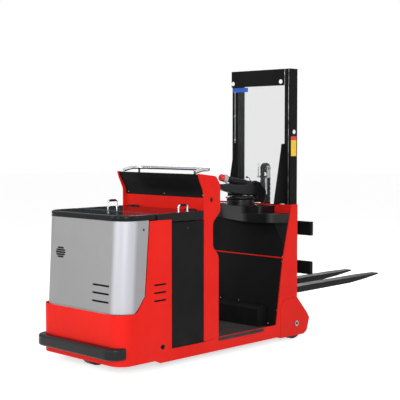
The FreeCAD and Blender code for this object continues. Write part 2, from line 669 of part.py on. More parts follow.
# Load wheels
half_load = load_width / 2.0
wheel_a = (load_x, -load_y - half_load, load_radius)
wheel_b = (load_x, -load_y + half_load, load_radius)
tyre = ring(wheel_a, wheel_b, load_radius, load_hub)
tyre = tyre.makeFillet(7.0, [e for e in tyre.Edges if abs(e.BoundBox.ZMax - 2 * load_radius) < 0.01
                             and abs(e.BoundBox.YLength) < 0.01])
hub = ring(wheel_a, wheel_b, load_hub, axle_radius + running_gap)
face = 9.0
for ya, yb in ((wheel_a[1] - 1.0, wheel_a[1] + face), (wheel_b[1] - face, wheel_b[1] + 1.0)):
    hub = hub.cut(ring((load_x, ya, load_radius), (load_x, yb, load_radius), load_hub - 12.0, 34.0))
for side, shape_of in (("right", lambda s: s), ("left", mirrored)):
    save("load_tyre_" + side, shape_of(tyre))
    save("load_hub_" + side, shape_of(hub))

# Drive unit: motor over a turntable, cheeks and axle; the wheel turns between them
half_drive = drive_width / 2.0
cheek = (half_drive + 8.0, half_drive + 20.0)
turntable = rod((drive_x, 0, steer_plate[0] - 26.0), (drive_x, 0, steer_plate[0] - seat_gap), 118.0)
bracket = [turntable, rod((drive_x, -cheek[1], drive_radius), (drive_x, cheek[1], drive_radius), axle_radius)]
for y0, y1 in ((-cheek[1], -cheek[0]), (cheek[0], cheek[1])):
    bracket.append(side_prism([(drive_x - 36.0, drive_radius - 30.0, 28), (drive_x + 36.0, drive_radius - 30.0, 28),
                               (drive_x + 60.0, steer_plate[0] - 26.0, 0),
                               (drive_x - 60.0, steer_plate[0] - 26.0, 0)], (y0, y1)))
save("drive_bracket", fuse(bracket))
save("drive_motor", rod((drive_x, 0, steer_plate[0]), (drive_x, 0, motor_top), steer_hole - move_gap))
drive_a = (drive_x, -half_drive, drive_radius)
drive_b = (drive_x, half_drive, drive_radius)
drive_tyre = ring(drive_a, drive_b, drive_radius, drive_hub)
drive_tyre = drive_tyre.makeFillet(7.0, [e for e in drive_tyre.Edges
                                         if abs(e.BoundBox.ZMax - 2 * drive_radius) < 0.01
                                         and abs(e.BoundBox.YLength) < 0.01])
save("drive_tyre", drive_tyre)
save("drive_hub", ring(drive_a, drive_b, drive_hub, axle_radius + running_gap))

# Mast: two channels open inwards, crossbar, base, brackets, gussets and guard
channel = side_prism([(mast_rear, mast_bottom, 0), (mast_rear, mast_top, 0), (mast_front, mast_top, 0),
                      (mast_front, mast_bottom, 0)], (-mast_half, -flange_in))
channel = channel.cut(box((mast_rear + flange, mast_front - flange), (-mast_half + flange, 0),
                          (mast_bottom - 5.0, mast_top + 5.0)))
save("mast_upright_right", channel)
save("mast_upright_left", mirrored(channel))
save("mast_crossbar", box((mast_rear - crossbar, mast_rear), (-mast_half, mast_half),
                           (mast_top - crossbar_height, mast_top)))
base = box((mast_rear + 2.0, mast_front - 2.0), (-flange_in, flange_in), (mast_bottom, mast_bottom + 90.0))
brackets = [box((front_edge, mast_rear), (-mast_half + 8.0, -flange_in), z)
            for z in bracket_z]
brackets += [mirrored(b) for b in brackets]
save("mast_mounts", Part.makeCompound([base] + brackets))
gusset = side_prism([(mast_rear, bulkhead_top + seat_gap, 0), (mast_rear - 128.0, bulkhead_top + seat_gap, 0),
                     (mast_rear - 75.0, gusset_top - 199.0, 300), (mast_rear - 42.0, gusset_top - 36.0, 0),
                     (mast_rear - 38.0, gusset_top, 12), (mast_rear, gusset_top, 0)],
                    (-flange_in - 5.0, -flange_in))
save("mast_gussets", both_sides(gusset))
save("mast_guard", box((mast_rear + 1.0, mast_rear + 1.0 + guard), (-flange_in + seat_gap, flange_in - seat_gap),
                       (bulkhead_top + 5.0, mast_top - 30.0)))

# Lift cylinder, its rod with the chain pulley, and the two chain runs
barrel = fuse([rod((lift_x, 0, mast_bottom + 90.0), (lift_x, 0, barrel_top), barrel_radius),
               rod((lift_x, 0, barrel_top - 30.0), (lift_x, 0, barrel_top), barrel_radius + 3.0),
               box((lift_x - pulley_radius - chain_thick, lift_x), (-24.0, 24.0), (chain_low - 40.0, chain_low))])
barrel = barrel.cut(rod((lift_x, 0, rod_low - lower_travel - 2 * move_gap), (lift_x, 0, barrel_top + 5.0),
                        rod_radius + running_gap))
save("lift_cylinder", barrel)
foot = (pulley_z - yoke_foot[0], pulley_z - yoke_foot[1])
guide_x, guide_y = lift_x - hose_guide[0], hose_guide[1]
yoke = [rod((lift_x, 0, rod_low), (lift_x, 0, foot[1] - 2.0), rod_radius),
        box((lift_x - yoke_reach - 2.0, lift_x + yoke_reach + 2.0), (-yoke_half[1], yoke_half[1]), foot),
        rod((lift_x, -yoke_half[1] - 4.0, pulley_z), (lift_x, yoke_half[1] + 4.0, pulley_z), pulley_pin),
        box((guide_x - 8.0, guide_x + 8.0), (yoke_half[1] - 4.0, guide_y + 8.0), foot),
        rod((guide_x, guide_y, foot[0]), (guide_x, guide_y, pulley_z + pulley_radius + chain_thick), hose_guide[2])]
for y0, y1 in (yoke_half, (-yoke_half[1], -yoke_half[0])):
    yoke.append(box((lift_x - yoke_reach, lift_x + yoke_reach), (y0, y1), (foot[0], pulley_z + yoke_reach)))
save("lift_rod", fuse(yoke))
half_pulley = yoke_half[0] - 4.0
half_groove = chain_width / 2.0 + 1.0
pulley = fuse([rod((lift_x, -half_pulley, pulley_z), (lift_x, half_pulley, pulley_z), pulley_radius),
               rod((lift_x, -half_pulley, pulley_z), (lift_x, -half_groove, pulley_z), pulley_flange),
               rod((lift_x, half_groove, pulley_z), (lift_x, half_pulley, pulley_z), pulley_flange)])
pulley = pulley.cut(rod((lift_x, -half_pulley, pulley_z), (lift_x, half_pulley, pulley_z),
                        pulley_pin + running_gap))
save("chain_pulley", pulley)
half_chain = chain_width / 2.0
run = (pulley_radius + seat_gap, pulley_radius + seat_gap + chain_thick)
run_mid = (run[0] + run[1]) / 2.0
rear_links = round((pulley_z - chain_low) / chain_pitch)
front_links = round((pulley_z - anchor_z) / chain_pitch)
wrap_links = round(pi * run_mid / chain_pitch)
rear_pins = [(lift_x - run_mid, chain_low + (pulley_z - chain_low) * i / rear_links)
             for i in range(rear_links + 1)]
wrap_pins = [(lift_x - run_mid * cos(pi * i / wrap_links), pulley_z + run_mid * sin(pi * i / wrap_links))
             for i in range(wrap_links + 1)]
front_pins = [(lift_x + run_mid, pulley_z - (pulley_z - anchor_z) * i / front_links)
              for i in range(front_links + 1)]
x_span, y_span = (lift_x - 100.0, lift_x + 100.0), (-half_chain, half_chain)
save("chain_rear", strand(rear_pins).common(box(x_span, y_span, (chain_low, pulley_z))))
wrap = strand(wrap_pins, rear_links).common(box(x_span, y_span, (pulley_z, pulley_z + 100.0)))
save("chain_wrap", wrap.cut(rod((lift_x, -half_chain, pulley_z), (lift_x, half_chain, pulley_z), run[0])))
front_run = strand(front_pins, rear_links + wrap_links)
save("chain_front", front_run.common(box(x_span, y_span, (anchor_z, pulley_z))))

# Carriage: two fork bars, side plates, rollers and the chain anchor
bars = [box((bar_rear, bar_front), (-bar_half, bar_half), z) for z in (lower_bar, upper_bar)]
for y in [share * bar_half for share in (-0.8, -0.48, -0.17, 0.17, 0.48, 0.8)]:
    bars[1] = bars[1].cut(box((bar_rear - 1.0, bar_front + 1.0), (y - 8.0, y + 8.0),
                              (upper_bar[1] - 10.0, upper_bar[1] + 1.0)))
plates = [box((mast_rear + 22.0, bar_rear), y, (lower_bar[0] + 8.0, upper_bar[1] - 8.0))
          for y in (plate_y, (-plate_y[1], -plate_y[0]))]
anchor = box((lift_x + run[0], bar_rear), (-30.0, 30.0), (anchor_z - 40.0, anchor_z))
ties = box((bar_rear - 16.0, bar_rear), (-plate_y[0], plate_y[0]), (anchor_z - 40.0, anchor_z + 10.0))
ties = ties.cut(box((bar_rear - 20.0, lift_x + run[1] + 4.0), (-half_chain - 3.0, half_chain + 3.0),
                    (anchor_z, anchor_z + 20.0)))
save("fork_carriage", fuse(bars + plates + [anchor, ties]))
rollers = []
for z in (lower_bar[0] + 55.0, upper_bar[1] - 55.0):
    rollers.append(fuse([rod((mast_mid, -plate_y[1], z), (mast_mid, -flange_in - 9.0, z), 12.0),
                         rod((mast_mid, -flange_in - 9.0, z), (mast_mid, -mast_half + flange + 5.0, z),
                             roller_radius)]))
save("carriage_rollers", Part.makeCompound(rollers + [mirrored(r) for r in rollers]))

# Forks
shank_rear = bar_front + seat_gap
shank_front = bar_front + fork_thick
heel_low = fork_top - fork_heel
fork = side_prism([(shank_rear, upper_bar[1] + 20.0, 0), (shank_front - 8.0, upper_bar[1] + 20.0, 0),
                   (shank_front, upper_bar[1] - 60.0, 0), (shank_front, fork_top, 14),
                   (fork_tip - 30.0, fork_top, 0), (fork_tip, fork_top - 4.0, 0),
                   (fork_tip, fork_top - fork_tip_thick, 0),
                   (fork_tip - 458.0, heel_low + 6.0, 400), (shank_rear, heel_low, 44)],
                  (-fork_y - fork_width / 2.0, -fork_y + fork_width / 2.0))
half_fork, half_tip = fork_width / 2.0, fork_tip_width / 2.0
taper = plan_prism([(shank_rear - 5.0, -fork_y - half_fork, 0), (fork_tip - 240.0, -fork_y - half_fork, 200),
                    (fork_tip, -fork_y - half_tip, 20), (fork_tip, -fork_y + half_tip, 20),
                    (fork_tip - 240.0, -fork_y + half_fork, 200), (shank_rear - 5.0, -fork_y + half_fork, 0)],
                   (0.0, 1200.0))
fork = fork.common(taper)
hook = box((bar_rear + 8.0, shank_rear), (-fork_y - 40.0, -fork_y + 40.0),
           (upper_bar[1] + seat_gap, upper_bar[1] + 20.0))
fork = fuse([fork, hook])
save("fork_right", fork)
save("fork_left", mirrored(fork))

# Tiller: turret, goose-neck arm, grip and its switch head
turret_top = console_top + turret_height
centre = Vec(turret[0], turret[1], 0)


def placed(shape):
    """Turns a shape drawn along X about the turret's axis, then moves it there."""
    shape = shape.copy()
    shape.rotate(Vec(0, 0, 0), Vec(0, 0, 1), -tiller_turn)
    shape.translate(centre)
    return shape


turret_body = rod((0, 0, console_top + seat_gap), (0, 0, turret_top), turret_radius)
turret_body = turret_body.makeFillet(12.0, [e for e in turret_body.Edges
                                            if e.BoundBox.ZMin > turret_top - 0.01])
save("tiller_turret", placed(turret_body))
arm = side_prism([(u, turret_top + h, r) for u, h, r in arm_outline], (-arm_half, arm_half))
flat_edges = [e for e in arm.Edges if e.BoundBox.YLength < 0.01 and e.BoundBox.ZMin > turret_top]
arm = arm.makeFillet(9.0, flat_edges)
arm = arm.cut(rod((0, 0, console_top), (0, 0, turret_top), turret_radius + 0.2))
save("tiller_arm", placed(arm))
(front_u, front_h, front_r), (rear_u, rear_h, rear_r) = grip_line
grip_front = Vec(front_u, 0, turret_top + front_h)
grip_rear = Vec(rear_u, 0, turret_top + rear_h)
along = (grip_rear - grip_front).normalize()
grip = Part.makeCone(front_r, rear_r, (grip_rear - grip_front).Length, grip_front, along)
save("tiller_grip", placed(grip.cut(arm)))
head = Part.makeCylinder(head_radius, 34.0, grip_rear, along)
head = head.makeFillet(8.0, head.Edges).cut(arm)
save("tiller_head", placed(head))
button = Part.makeCylinder(button_radius, 32.0, grip_rear + along * 34.0, along)
button = button.makeFillet(12.0, [e for e in button.Edges if e.BoundBox.XMin < button.BoundBox.XMin + 13.0
                                  and e.BoundBox.XMax < grip_rear.x - 34.0])
save("tiller_button", placed(button))

print("nodes", len(os.listdir("parts")))
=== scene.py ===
import json
import math

import bpy
import numpy as np
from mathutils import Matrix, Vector


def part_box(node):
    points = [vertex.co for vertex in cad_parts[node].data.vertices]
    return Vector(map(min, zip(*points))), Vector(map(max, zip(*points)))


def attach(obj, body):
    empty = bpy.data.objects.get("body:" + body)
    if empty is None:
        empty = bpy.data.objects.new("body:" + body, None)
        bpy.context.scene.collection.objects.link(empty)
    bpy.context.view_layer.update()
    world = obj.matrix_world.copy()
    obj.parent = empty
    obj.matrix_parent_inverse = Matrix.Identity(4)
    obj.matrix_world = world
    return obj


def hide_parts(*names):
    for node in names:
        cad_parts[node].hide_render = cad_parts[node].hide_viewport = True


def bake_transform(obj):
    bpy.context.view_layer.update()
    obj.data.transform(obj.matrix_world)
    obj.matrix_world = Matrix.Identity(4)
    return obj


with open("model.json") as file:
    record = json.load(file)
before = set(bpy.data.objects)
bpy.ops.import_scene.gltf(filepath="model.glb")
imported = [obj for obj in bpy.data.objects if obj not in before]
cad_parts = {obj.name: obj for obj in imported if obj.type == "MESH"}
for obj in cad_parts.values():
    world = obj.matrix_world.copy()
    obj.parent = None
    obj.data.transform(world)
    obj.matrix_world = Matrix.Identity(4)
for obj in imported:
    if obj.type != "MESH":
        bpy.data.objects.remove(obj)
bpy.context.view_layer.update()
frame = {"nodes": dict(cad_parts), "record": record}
nodes = frame["nodes"]
slotOf = {row["node"]: row["material_slot"] for row in frame["record"]["subparts"]}
print("frame loaded,", len(nodes), "pieces")


# shader helpers

def addNode(tree, kind, **values):
    made = tree.nodes.new("ShaderNode" + kind)
    for key, value in values.items():
        if hasattr(made, key):
            setattr(made, key, value)
        else:
            made.inputs[key.replace("_", " ")].default_value = value
    return made


def wire(tree, source, target):
    tree.links.new(source, target)


def mathNode(tree, operation, a, b=None, clamp=False):
    made = addNode(tree, "Math", operation=operation, use_clamp=clamp)
    for socket, value in zip(made.inputs, (a, b)):
        if value is None:
            continue
        if isinstance(value, (int, float)):
            socket.default_value = value
        else:
            wire(tree, value, socket)
    return made.outputs[0]


def rampNode(tree, value, low, high, toLow=0.0, toHigh=1.0):
    made = addNode(tree, "MapRange", interpolation_type="SMOOTHSTEP", clamp=True)
    wire(tree, value, made.inputs["Value"])
    for label, number in (("From Min", low), ("From Max", high), ("To Min", toLow), ("To Max", toHigh)):
        if isinstance(number, (int, float)):
            made.inputs[label].default_value = number
        else:
            wire(tree, number, made.inputs[label])
    return made.outputs[0]


def mixColour(tree, amount, a, b, blend="MIX"):
    made = addNode(tree, "Mix", data_type="RGBA", blend_type=blend)
    for socket, value in ((made.inputs[0], amount), (made.inputs[6], a), (made.inputs[7], b)):
        if isinstance(value, (int, float)):
            socket.default_value = value
        elif isinstance(value, tuple):
            socket.default_value = value if len(value) == 4 else value + (1.0,)
        else:
            wire(tree, value, socket)
    return made.outputs[2]


def newGroup(name, inputs, outputs):
    group = bpy.data.node_groups.new(name, "ShaderNodeTree")
    for label, value in inputs:
        socket = group.interface.new_socket(name=label, in_out="INPUT", socket_type="NodeSocketFloat")
        socket.default_value = value
    for label, kind in outputs:
        group.interface.new_socket(name=label, in_out="OUTPUT", socket_type="NodeSocket" + kind)
    return group, group.nodes.new("NodeGroupInput").outputs, group.nodes.new("NodeGroupOutput").inputs


def edgeWearAndHighlightGroup():
    # how far the rounded normal leaves the flat one marks the edges; noise breaks the mark up; the mark
    # carries edge wear, and a painted highlight on the silver and red paint
    group, given, out = newGroup("wornEdge", [("Radius", 0.003), ("Reach", 0.5), ("Scale", 40.0)],
                                 [("Mask", "Float"), ("Normal", "Vector")])
    bevel = addNode(group, "Bevel", samples=4)
    wire(group, given["Radius"], bevel.inputs["Radius"])
    flat = addNode(group, "NewGeometry")
    dot = addNode(group, "VectorMath", operation="DOT_PRODUCT")
    wire(group, bevel.outputs[0], dot.inputs[0])
    wire(group, flat.outputs["Normal"], dot.inputs[1])
    edge = mathNode(group, "SUBTRACT", 1.0, dot.outputs["Value"])
    place = addNode(group, "TexCoord")
    noise = addNode(group, "TexNoise", Detail=5.0, Roughness=0.7)
    wire(group, place.outputs["Object"], noise.inputs["Vector"])
    wire(group, given["Scale"], noise.inputs["Scale"])
    broken = rampNode(group, noise.outputs[0], 0.45, 0.62)
    shown = rampNode(group, edge, 0.02, 0.25)
    worn = mathNode(group, "MULTIPLY", mathNode(group, "MULTIPLY", shown, broken), given["Reach"], clamp=True)
    wire(group, worn, out["Mask"])
    wire(group, bevel.outputs[0], out["Normal"])
    return group


def grainGroup():
    # cells and fine noise: pores of a moulding or the peel of a sprayed coat
    group, given, out = newGroup("surfaceGrain", [("Scale", 600.0), ("Cells", 0.5), ("Cloud Scale", 3.0)],
                                 [("Height", "Float"), ("Cloud", "Float")])
    place = addNode(group, "TexCoord")
    cell = addNode(group, "TexVoronoi", feature="SMOOTH_F1")
    noise = addNode(group, "TexNoise", Detail=3.0)
    cloud = addNode(group, "TexNoise", Detail=4.0, Roughness=0.6)
    for texture in (cell, noise, cloud):
        wire(group, place.outputs["Object"], texture.inputs["Vector"])
    wire(group, given["Scale"], cell.inputs["Scale"])
    wire(group, given["Scale"], noise.inputs["Scale"])
    wire(group, given["Cloud Scale"], cloud.inputs["Scale"])
    blend = addNode(group, "Mix", data_type="FLOAT")
    wire(group, given["Cells"], blend.inputs[0])
    wire(group, noise.outputs[0], blend.inputs[2])
    wire(group, cell.outputs["Distance"], blend.inputs[3])
    wire(group, blend.outputs[0], out["Height"])
    wire(group, rampNode(group, cloud.outputs[0], 0.3, 0.7), out["Cloud"])
    return group


def dustGroup():
    # dust lies thickest near the floor and on faces that look up
    group, given, out = newGroup("floorDust", [("Amount", 0.3), ("Height", 0.5)], [("Mask", "Float")])
    place = addNode(group, "TexCoord")
    apart = addNode(group, "SeparateXYZ")
    wire(group, place.outputs["Object"], apart.inputs[0])
    low = addNode(group, "MapRange", interpolation_type="SMOOTHSTEP")
    wire(group, apart.outputs["Z"], low.inputs["Value"])
    wire(group, given["Height"], low.inputs["From Max"])
    low.inputs["To Min"].default_value = 1.0
    low.inputs["To Max"].default_value = 0.0
    facing = addNode(group, "NewGeometry")
    up = addNode(group, "SeparateXYZ")
    wire(group, facing.outputs["Normal"], up.inputs[0])
    top = rampNode(group, up.outputs["Z"], 0.6, 1.0, 0.0, 0.6)
    noise = addNode(group, "TexNoise", Scale=9.0, Detail=6.0, Roughness=0.65)
    wire(group, place.outputs["Object"], noise.inputs["Vector"])
    patch = rampNode(group, noise.outputs[0], 0.35, 0.75)
    both = mathNode(group, "ADD", low.outputs[0], top, clamp=True)
    mask = mathNode(group, "MULTIPLY", mathNode(group, "MULTIPLY", both, patch), given["Amount"], clamp=True)
    wire(group, mask, out["Mask"])
    return group


def scratchGroup():
    # long thin streaks, from a noise that is drawn out along one axis
    group, given, out = newGroup("fineScratch", [("Along X", 4.0), ("Across", 260.0), ("Amount", 0.5)],
                                 [("Mask", "Float")])
    place = addNode(group, "TexCoord")
    apart = addNode(group, "SeparateXYZ")
    wire(group, place.outputs["Object"], apart.inputs[0])
    joined = addNode(group, "CombineXYZ")
    wire(group, mathNode(group, "MULTIPLY", apart.outputs["X"], given["Along X"]), joined.inputs[0])
    wire(group, mathNode(group, "MULTIPLY", apart.outputs["Y"], given["Across"]), joined.inputs[1])
    wire(group, mathNode(group, "MULTIPLY", apart.outputs["Z"], given["Across"]), joined.inputs[2])
    noise = addNode(group, "TexNoise", Scale=1.0, Detail=3.0, Roughness=0.7)
    wire(group, joined.outputs[0], noise.inputs["Vector"])
    streak = rampNode(group, noise.outputs[0], 0.6, 0.68)
    wire(group, mathNode(group, "MULTIPLY", streak, given["Amount"], clamp=True), out["Mask"])
    return group


groups = {"edge": edgeWearAndHighlightGroup(), "grain": grainGroup(), "dust": dustGroup(), "scratch": scratchGroup()}


def placeGroup(tree, label, **values):
    made = tree.nodes.new("ShaderNodeGroup")
    made.node_tree = groups[label]
    for key, value in values.items():
        made.inputs[key.replace("_", " ")].default_value = value
    return made


# one row for each finish: colours as they render, sizes in metres; usualLook fills in what a row leaves out
usualLook = dict(spec=0.2, wear=0.5, rough=0.55, roughWorn=0.5, coat=0.0, coatRough=0.1, metal=0.0,
                 edge=0.003, grain=1500.0, cells=0.1, depth=0.00002, cloud=4.0, dust=0.0, dustTop=0.3)
finishes = {
    # red: the pale pink edge colour is a painted highlight
    "red_paint": dict(spec=0.06, colour=(0.80, 0.019, 0.012), tone=(0.74, 0.015, 0.010),
                      worn=(0.85, 0.16, 0.13), wear=0.35, rough=0.34, roughWorn=0.4, coat=0.02,
                      coatRough=0.08, edge=0.0025, grain=900.0, cells=0.0, depth=0.00006, cloud=2.2,
                      dust=0.06, dustTop=0.35),
    # silver: the facing colour and the pale edge colour are painted highlights
    "silver_paint": dict(colour=(0.305, 0.305, 0.31), tone=(0.285, 0.285, 0.29), facing=(0.46, 0.46, 0.50),
                         flop=(0.10, 0.29), worn=(0.75, 0.74, 0.76), wear=0.3, rough=0.42, roughWorn=0.4,
                         coat=0.02, coatRough=0.12, metal=0.15, grain=1200.0, depth=0.00004, cloud=1.8,
                         dust=0.03, dustTop=0.5),
    "black_paint": dict(spec=0.06, colour=(0.0085, 0.0085, 0.009), tone=(0.006, 0.006, 0.0065),
                        worn=(0.09, 0.09, 0.095), roughWorn=0.55, coatRough=0.2, edge=0.002, grain=700.0,
                        cells=0.3, depth=0.00012, cloud=2.5, dust=0.04, dustTop=0.4),
    "black_plastic": dict(spec=0.06, colour=(0.0085, 0.009, 0.0095), tone=(0.006, 0.006, 0.0065),
                          worn=(0.05, 0.05, 0.052), wear=0.3, rough=0.6, coatRough=0.2, grain=1100.0,
                          cells=0.7, depth=0.00010, cloud=3.0, dust=0.04),
    "satin_black": dict(colour=(0.0095, 0.0095, 0.0105), tone=(0.007, 0.007, 0.008),
                        worn=(0.06, 0.06, 0.065), wear=0.3, rough=0.3, roughWorn=0.45, coatRough=0.2,
                        edge=0.005, grain=1000.0, cells=0.7, depth=0.00006, dust=0.02),
    "mat_rubber": dict(spec=0.12, colour=(0.040, 0.034, 0.036), tone=(0.030, 0.027, 0.028),
                       worn=(0.08, 0.075, 0.07), rough=0.6, roughWorn=0.6, coatRough=0.3, grain=800.0,
                       cells=0.6, depth=0.00015, dust=0.2),
    # glint strips: a light colour that stands for the highlight on the mast's rounded corners
    "bare_edge": dict(spec=0.5, colour=(0.50, 0.50, 0.53), tone=(0.02, 0.02, 0.022), worn=(0.7, 0.7, 0.7),
                      rough=0.3, roughWorn=0.25, metal=0.4, edge=0.001, grain=700.0, cells=0.2,
                      depth=0.0001, cloud=16.0, dustTop=0.4),
    "gloss_black": dict(spec=0.16, colour=(0.006, 0.007, 0.0075), tone=(0.005, 0.0055, 0.006),
                        worn=(0.06, 0.06, 0.065), rough=0.13, roughWorn=0.4, coatRough=0.2, edge=0.004,
                        grain=900.0, cells=0.4, cloud=3.0),
    "rubber": dict(spec=0.12, colour=(0.014, 0.014, 0.015), tone=(0.010, 0.010, 0.011),
                   worn=(0.06, 0.06, 0.06), rough=0.5, roughWorn=0.6, coatRough=0.3, edge=0.004,
                   grain=800.0, cells=0.6, depth=0.00015, dust=0.12),
    # chrome: the facing colour is a painted reflection, pale where it faces the viewer and dark towards its
    # edges
    "chrome": dict(spec=0.5, colour=(0.30, 0.31, 0.34), tone=(0.26, 0.27, 0.30), facing=(0.80, 0.80, 0.82),
                   flop=(0.05, 0.55), worn=(0.45, 0.45, 0.46), wear=0.1, rough=0.16, roughWorn=0.35,
                   metal=1.0, edge=0.001, cells=0.0, depth=0.00001, cloud=6.0),
    "steel": dict(spec=0.5, colour=(0.36, 0.36, 0.37), tone=(0.28, 0.28, 0.29), worn=(0.5, 0.5, 0.5),
                  wear=0.6, rough=0.34, roughWorn=0.25, metal=1.0, edge=0.001, grain=1400.0, cells=0.2,
                  depth=0.00008, cloud=14.0, dust=0.15, dustTop=0.4),
    "chain_steel": dict(spec=0.25, colour=(0.016, 0.016, 0.017), tone=(0.010, 0.010, 0.011),
                        worn=(0.22, 0.22, 0.23), wear=0.8, rough=0.42, roughWorn=0.3, edge=0.0012,
                        grain=1400.0, cells=0.2, depth=0.00008, cloud=14.0, dust=0.05, dustTop=0.4),
    "cast": dict(colour=(0.045, 0.046, 0.050), tone=(0.030, 0.030, 0.033), worn=(0.16, 0.16, 0.16),
                 roughWorn=0.4, metal=0.3, edge=0.002, grain=350.0, cells=0.4, depth=0.0004, cloud=6.0,
                 dust=0.35, dustTop=0.5),
    "tyre": dict(colour=(0.022, 0.020, 0.019), tone=(0.015, 0.014, 0.013), worn=(0.07, 0.065, 0.06),
                 wear=0.4, roughWorn=0.7, coatRough=0.3, grain=500.0, cells=0.5, depth=0.0003, cloud=8.0,
                 dust=0.45),
    "fork_steel": dict(spec=0.1, colour=(0.011, 0.011, 0.012), tone=(0.008, 0.008, 0.009),
                       worn=(0.13, 0.125, 0.12), wear=0.6, rough=0.5, roughWorn=0.4, coatRough=0.2,
                       edge=0.004, grain=400.0, cells=0.2, depth=0.00015, cloud=5.0, dust=0.15,
                       dustTop=0.4),
    "battery_grey": dict(colour=(0.06, 0.062, 0.066), tone=(0.045, 0.046, 0.05), worn=(0.12, 0.12, 0.12),
                         wear=0.3, rough=0.45, roughWorn=0.6, coatRough=0.2, edge=0.004, grain=900.0,
                         cells=0.5, depth=0.0001, dust=0.3, dustTop=1.0),
    "light_plastic": dict(spec=0.3, colour=(0.50, 0.51, 0.54), tone=(0.44, 0.45, 0.48),
                          worn=(0.3, 0.3, 0.31), wear=0.1, rough=0.38, coat=0.1, coatRough=0.2, edge=0.0015,
                          grain=1600.0, cells=0.6, depth=0.00005, cloud=6.0),
    "red_plastic": dict(spec=0.3, colour=(0.75, 0.03, 0.03), tone=(0.68, 0.02, 0.02),
                        worn=(0.5, 0.05, 0.05), wear=0.1, rough=0.3, coat=0.3, edge=0.0015, grain=1600.0,
                        cells=0.4, depth=0.00004, cloud=6.0),
    "sticker_white": dict(spec=0.3, colour=(0.90, 0.90, 0.90), tone=(0.86, 0.86, 0.86),
                          worn=(0.5, 0.5, 0.5), wear=0.1, rough=0.35, coat=0.2, edge=0.0003, cloud=20.0),
    "sticker_yellow": dict(spec=0.3, colour=(0.95, 0.62, 0.02), tone=(0.90, 0.57, 0.02),
                           worn=(0.4, 0.3, 0.05), wear=0.1, rough=0.35, coat=0.2, edge=0.0003, cloud=20.0),
    "sticker_blue": dict(spec=0.3, colour=(0.01, 0.11, 0.55), tone=(0.01, 0.09, 0.48), worn=(0.1, 0.1, 0.3),
                         wear=0.1, rough=0.35, coat=0.2, edge=0.0003, cloud=20.0),
}
dustColour = (0.20, 0.185, 0.165)


def solidFinish(name, look):
    material = bpy.data.materials.new(name)
    material.use_nodes = True
    tree = material.node_tree
    shader = tree.nodes["Principled BSDF"]
    edge = placeGroup(tree, "edge", Radius=look["edge"], Reach=look["wear"], Scale=60.0)
    grain = placeGroup(tree, "grain", Scale=look["grain"], Cells=look["cells"], Cloud_Scale=look["cloud"])
    dust = placeGroup(tree, "dust", Amount=look["dust"], Height=look["dustTop"])
    colour = mixColour(tree, grain.outputs["Cloud"], look["colour"], look["tone"])
    if "facing" in look:  # painted highlight: paler where the surface faces the viewer, darker towards grazing
        angle = addNode(tree, "LayerWeight", Blend=0.5)
        turned = rampNode(tree, angle.outputs["Facing"], *look["flop"])
        colour = mixColour(tree, turned, look["facing"], colour)
    # edges take the edge colour: wear on most finishes, a painted highlight on the silver and red paint
    colour = mixColour(tree, edge.outputs["Mask"], colour, look["worn"])
    colour = mixColour(tree, dust.outputs["Mask"], colour, dustColour)
    wire(tree, colour, shader.inputs["Base Color"])
    rough = rampNode(tree, grain.outputs["Cloud"], 0.0, 1.0, look["rough"] * 0.92, look["rough"] * 1.1)
    used = mathNode(tree, "ADD", edge.outputs["Mask"], dust.outputs["Mask"], clamp=True)
    spread = addNode(tree, "Mix", data_type="FLOAT")
    wire(tree, used, spread.inputs[0])
    wire(tree, rough, spread.inputs[2])
    spread.inputs[3].default_value = look["roughWorn"]
    wire(tree, spread.outputs[0], shader.inputs["Roughness"])
    bump = addNode(tree, "Bump", Strength=1.0, Distance=look["depth"])
    wire(tree, grain.outputs["Height"], bump.inputs["Height"])
    wire(tree, edge.outputs["Normal"], bump.inputs["Normal"])
    wire(tree, bump.outputs[0], shader.inputs["Normal"])
    shader.inputs["Metallic"].default_value = look["metal"]
    shader.inputs["Specular IOR Level"].default_value = look["spec"]
    shader.inputs["Coat Weight"].default_value = look["coat"]
    shader.inputs["Coat Roughness"].default_value = look["coatRough"]
    return material


materials = {name: solidFinish(name, {**usualLook, **look}) for name, look in finishes.items()}


def clearFinish():
    # scuffed clear sheet: thin walls, so what lies behind keeps its place
    material = bpy.data.materials.new("clear_sheet")
    material.use_nodes = True
    tree = material.node_tree
    shader = tree.nodes["Principled BSDF"]
    shader.inputs["Base Color"].default_value = (0.16, 0.165, 0.17, 1.0)
    shader.inputs["IOR"].default_value = 1.45
    shader.inputs["Alpha"].default_value = 0.13
    shader.inputs["Specular IOR Level"].default_value = 0.2
    scratch = placeGroup(tree, "scratch", Along_X=3.0, Across=90.0, Amount=0.3)
    spread = rampNode(tree, scratch.outputs["Mask"], 0.0, 1.0, 0.05, 0.4)
    wire(tree, spread, shader.inputs["Roughness"])
    return material


def leatherFinish():
    # pebbled artificial leather: cells with creases between them, softened by noise
    material = bpy.data.materials.new("pad_leather")
    material.use_nodes = True
    tree = material.node_tree
    shader = tree.nodes["Principled BSDF"]
    grain = placeGroup(tree, "grain", Scale=260.0, Cells=0.85, Cloud_Scale=7.0)
    colour = mixColour(tree, grain.outputs["Cloud"], (0.016, 0.016, 0.018), (0.011, 0.011, 0.012))
    creases = rampNode(tree, grain.outputs["Height"], 0.15, 0.6)
    wire(tree, mixColour(tree, creases, (0.03, 0.03, 0.033), colour), shader.inputs["Base Color"])
    wire(tree, rampNode(tree, grain.outputs["Height"], 0.1, 0.7, 0.38, 0.6), shader.inputs["Roughness"])
    bump = addNode(tree, "Bump", Strength=0.8, Distance=0.0006)
    wire(tree, grain.outputs["Height"], bump.inputs["Height"])
    wire(tree, bump.outputs[0], shader.inputs["Normal"])
    shader.inputs["Sheen Weight"].default_value = 0.1
    return material


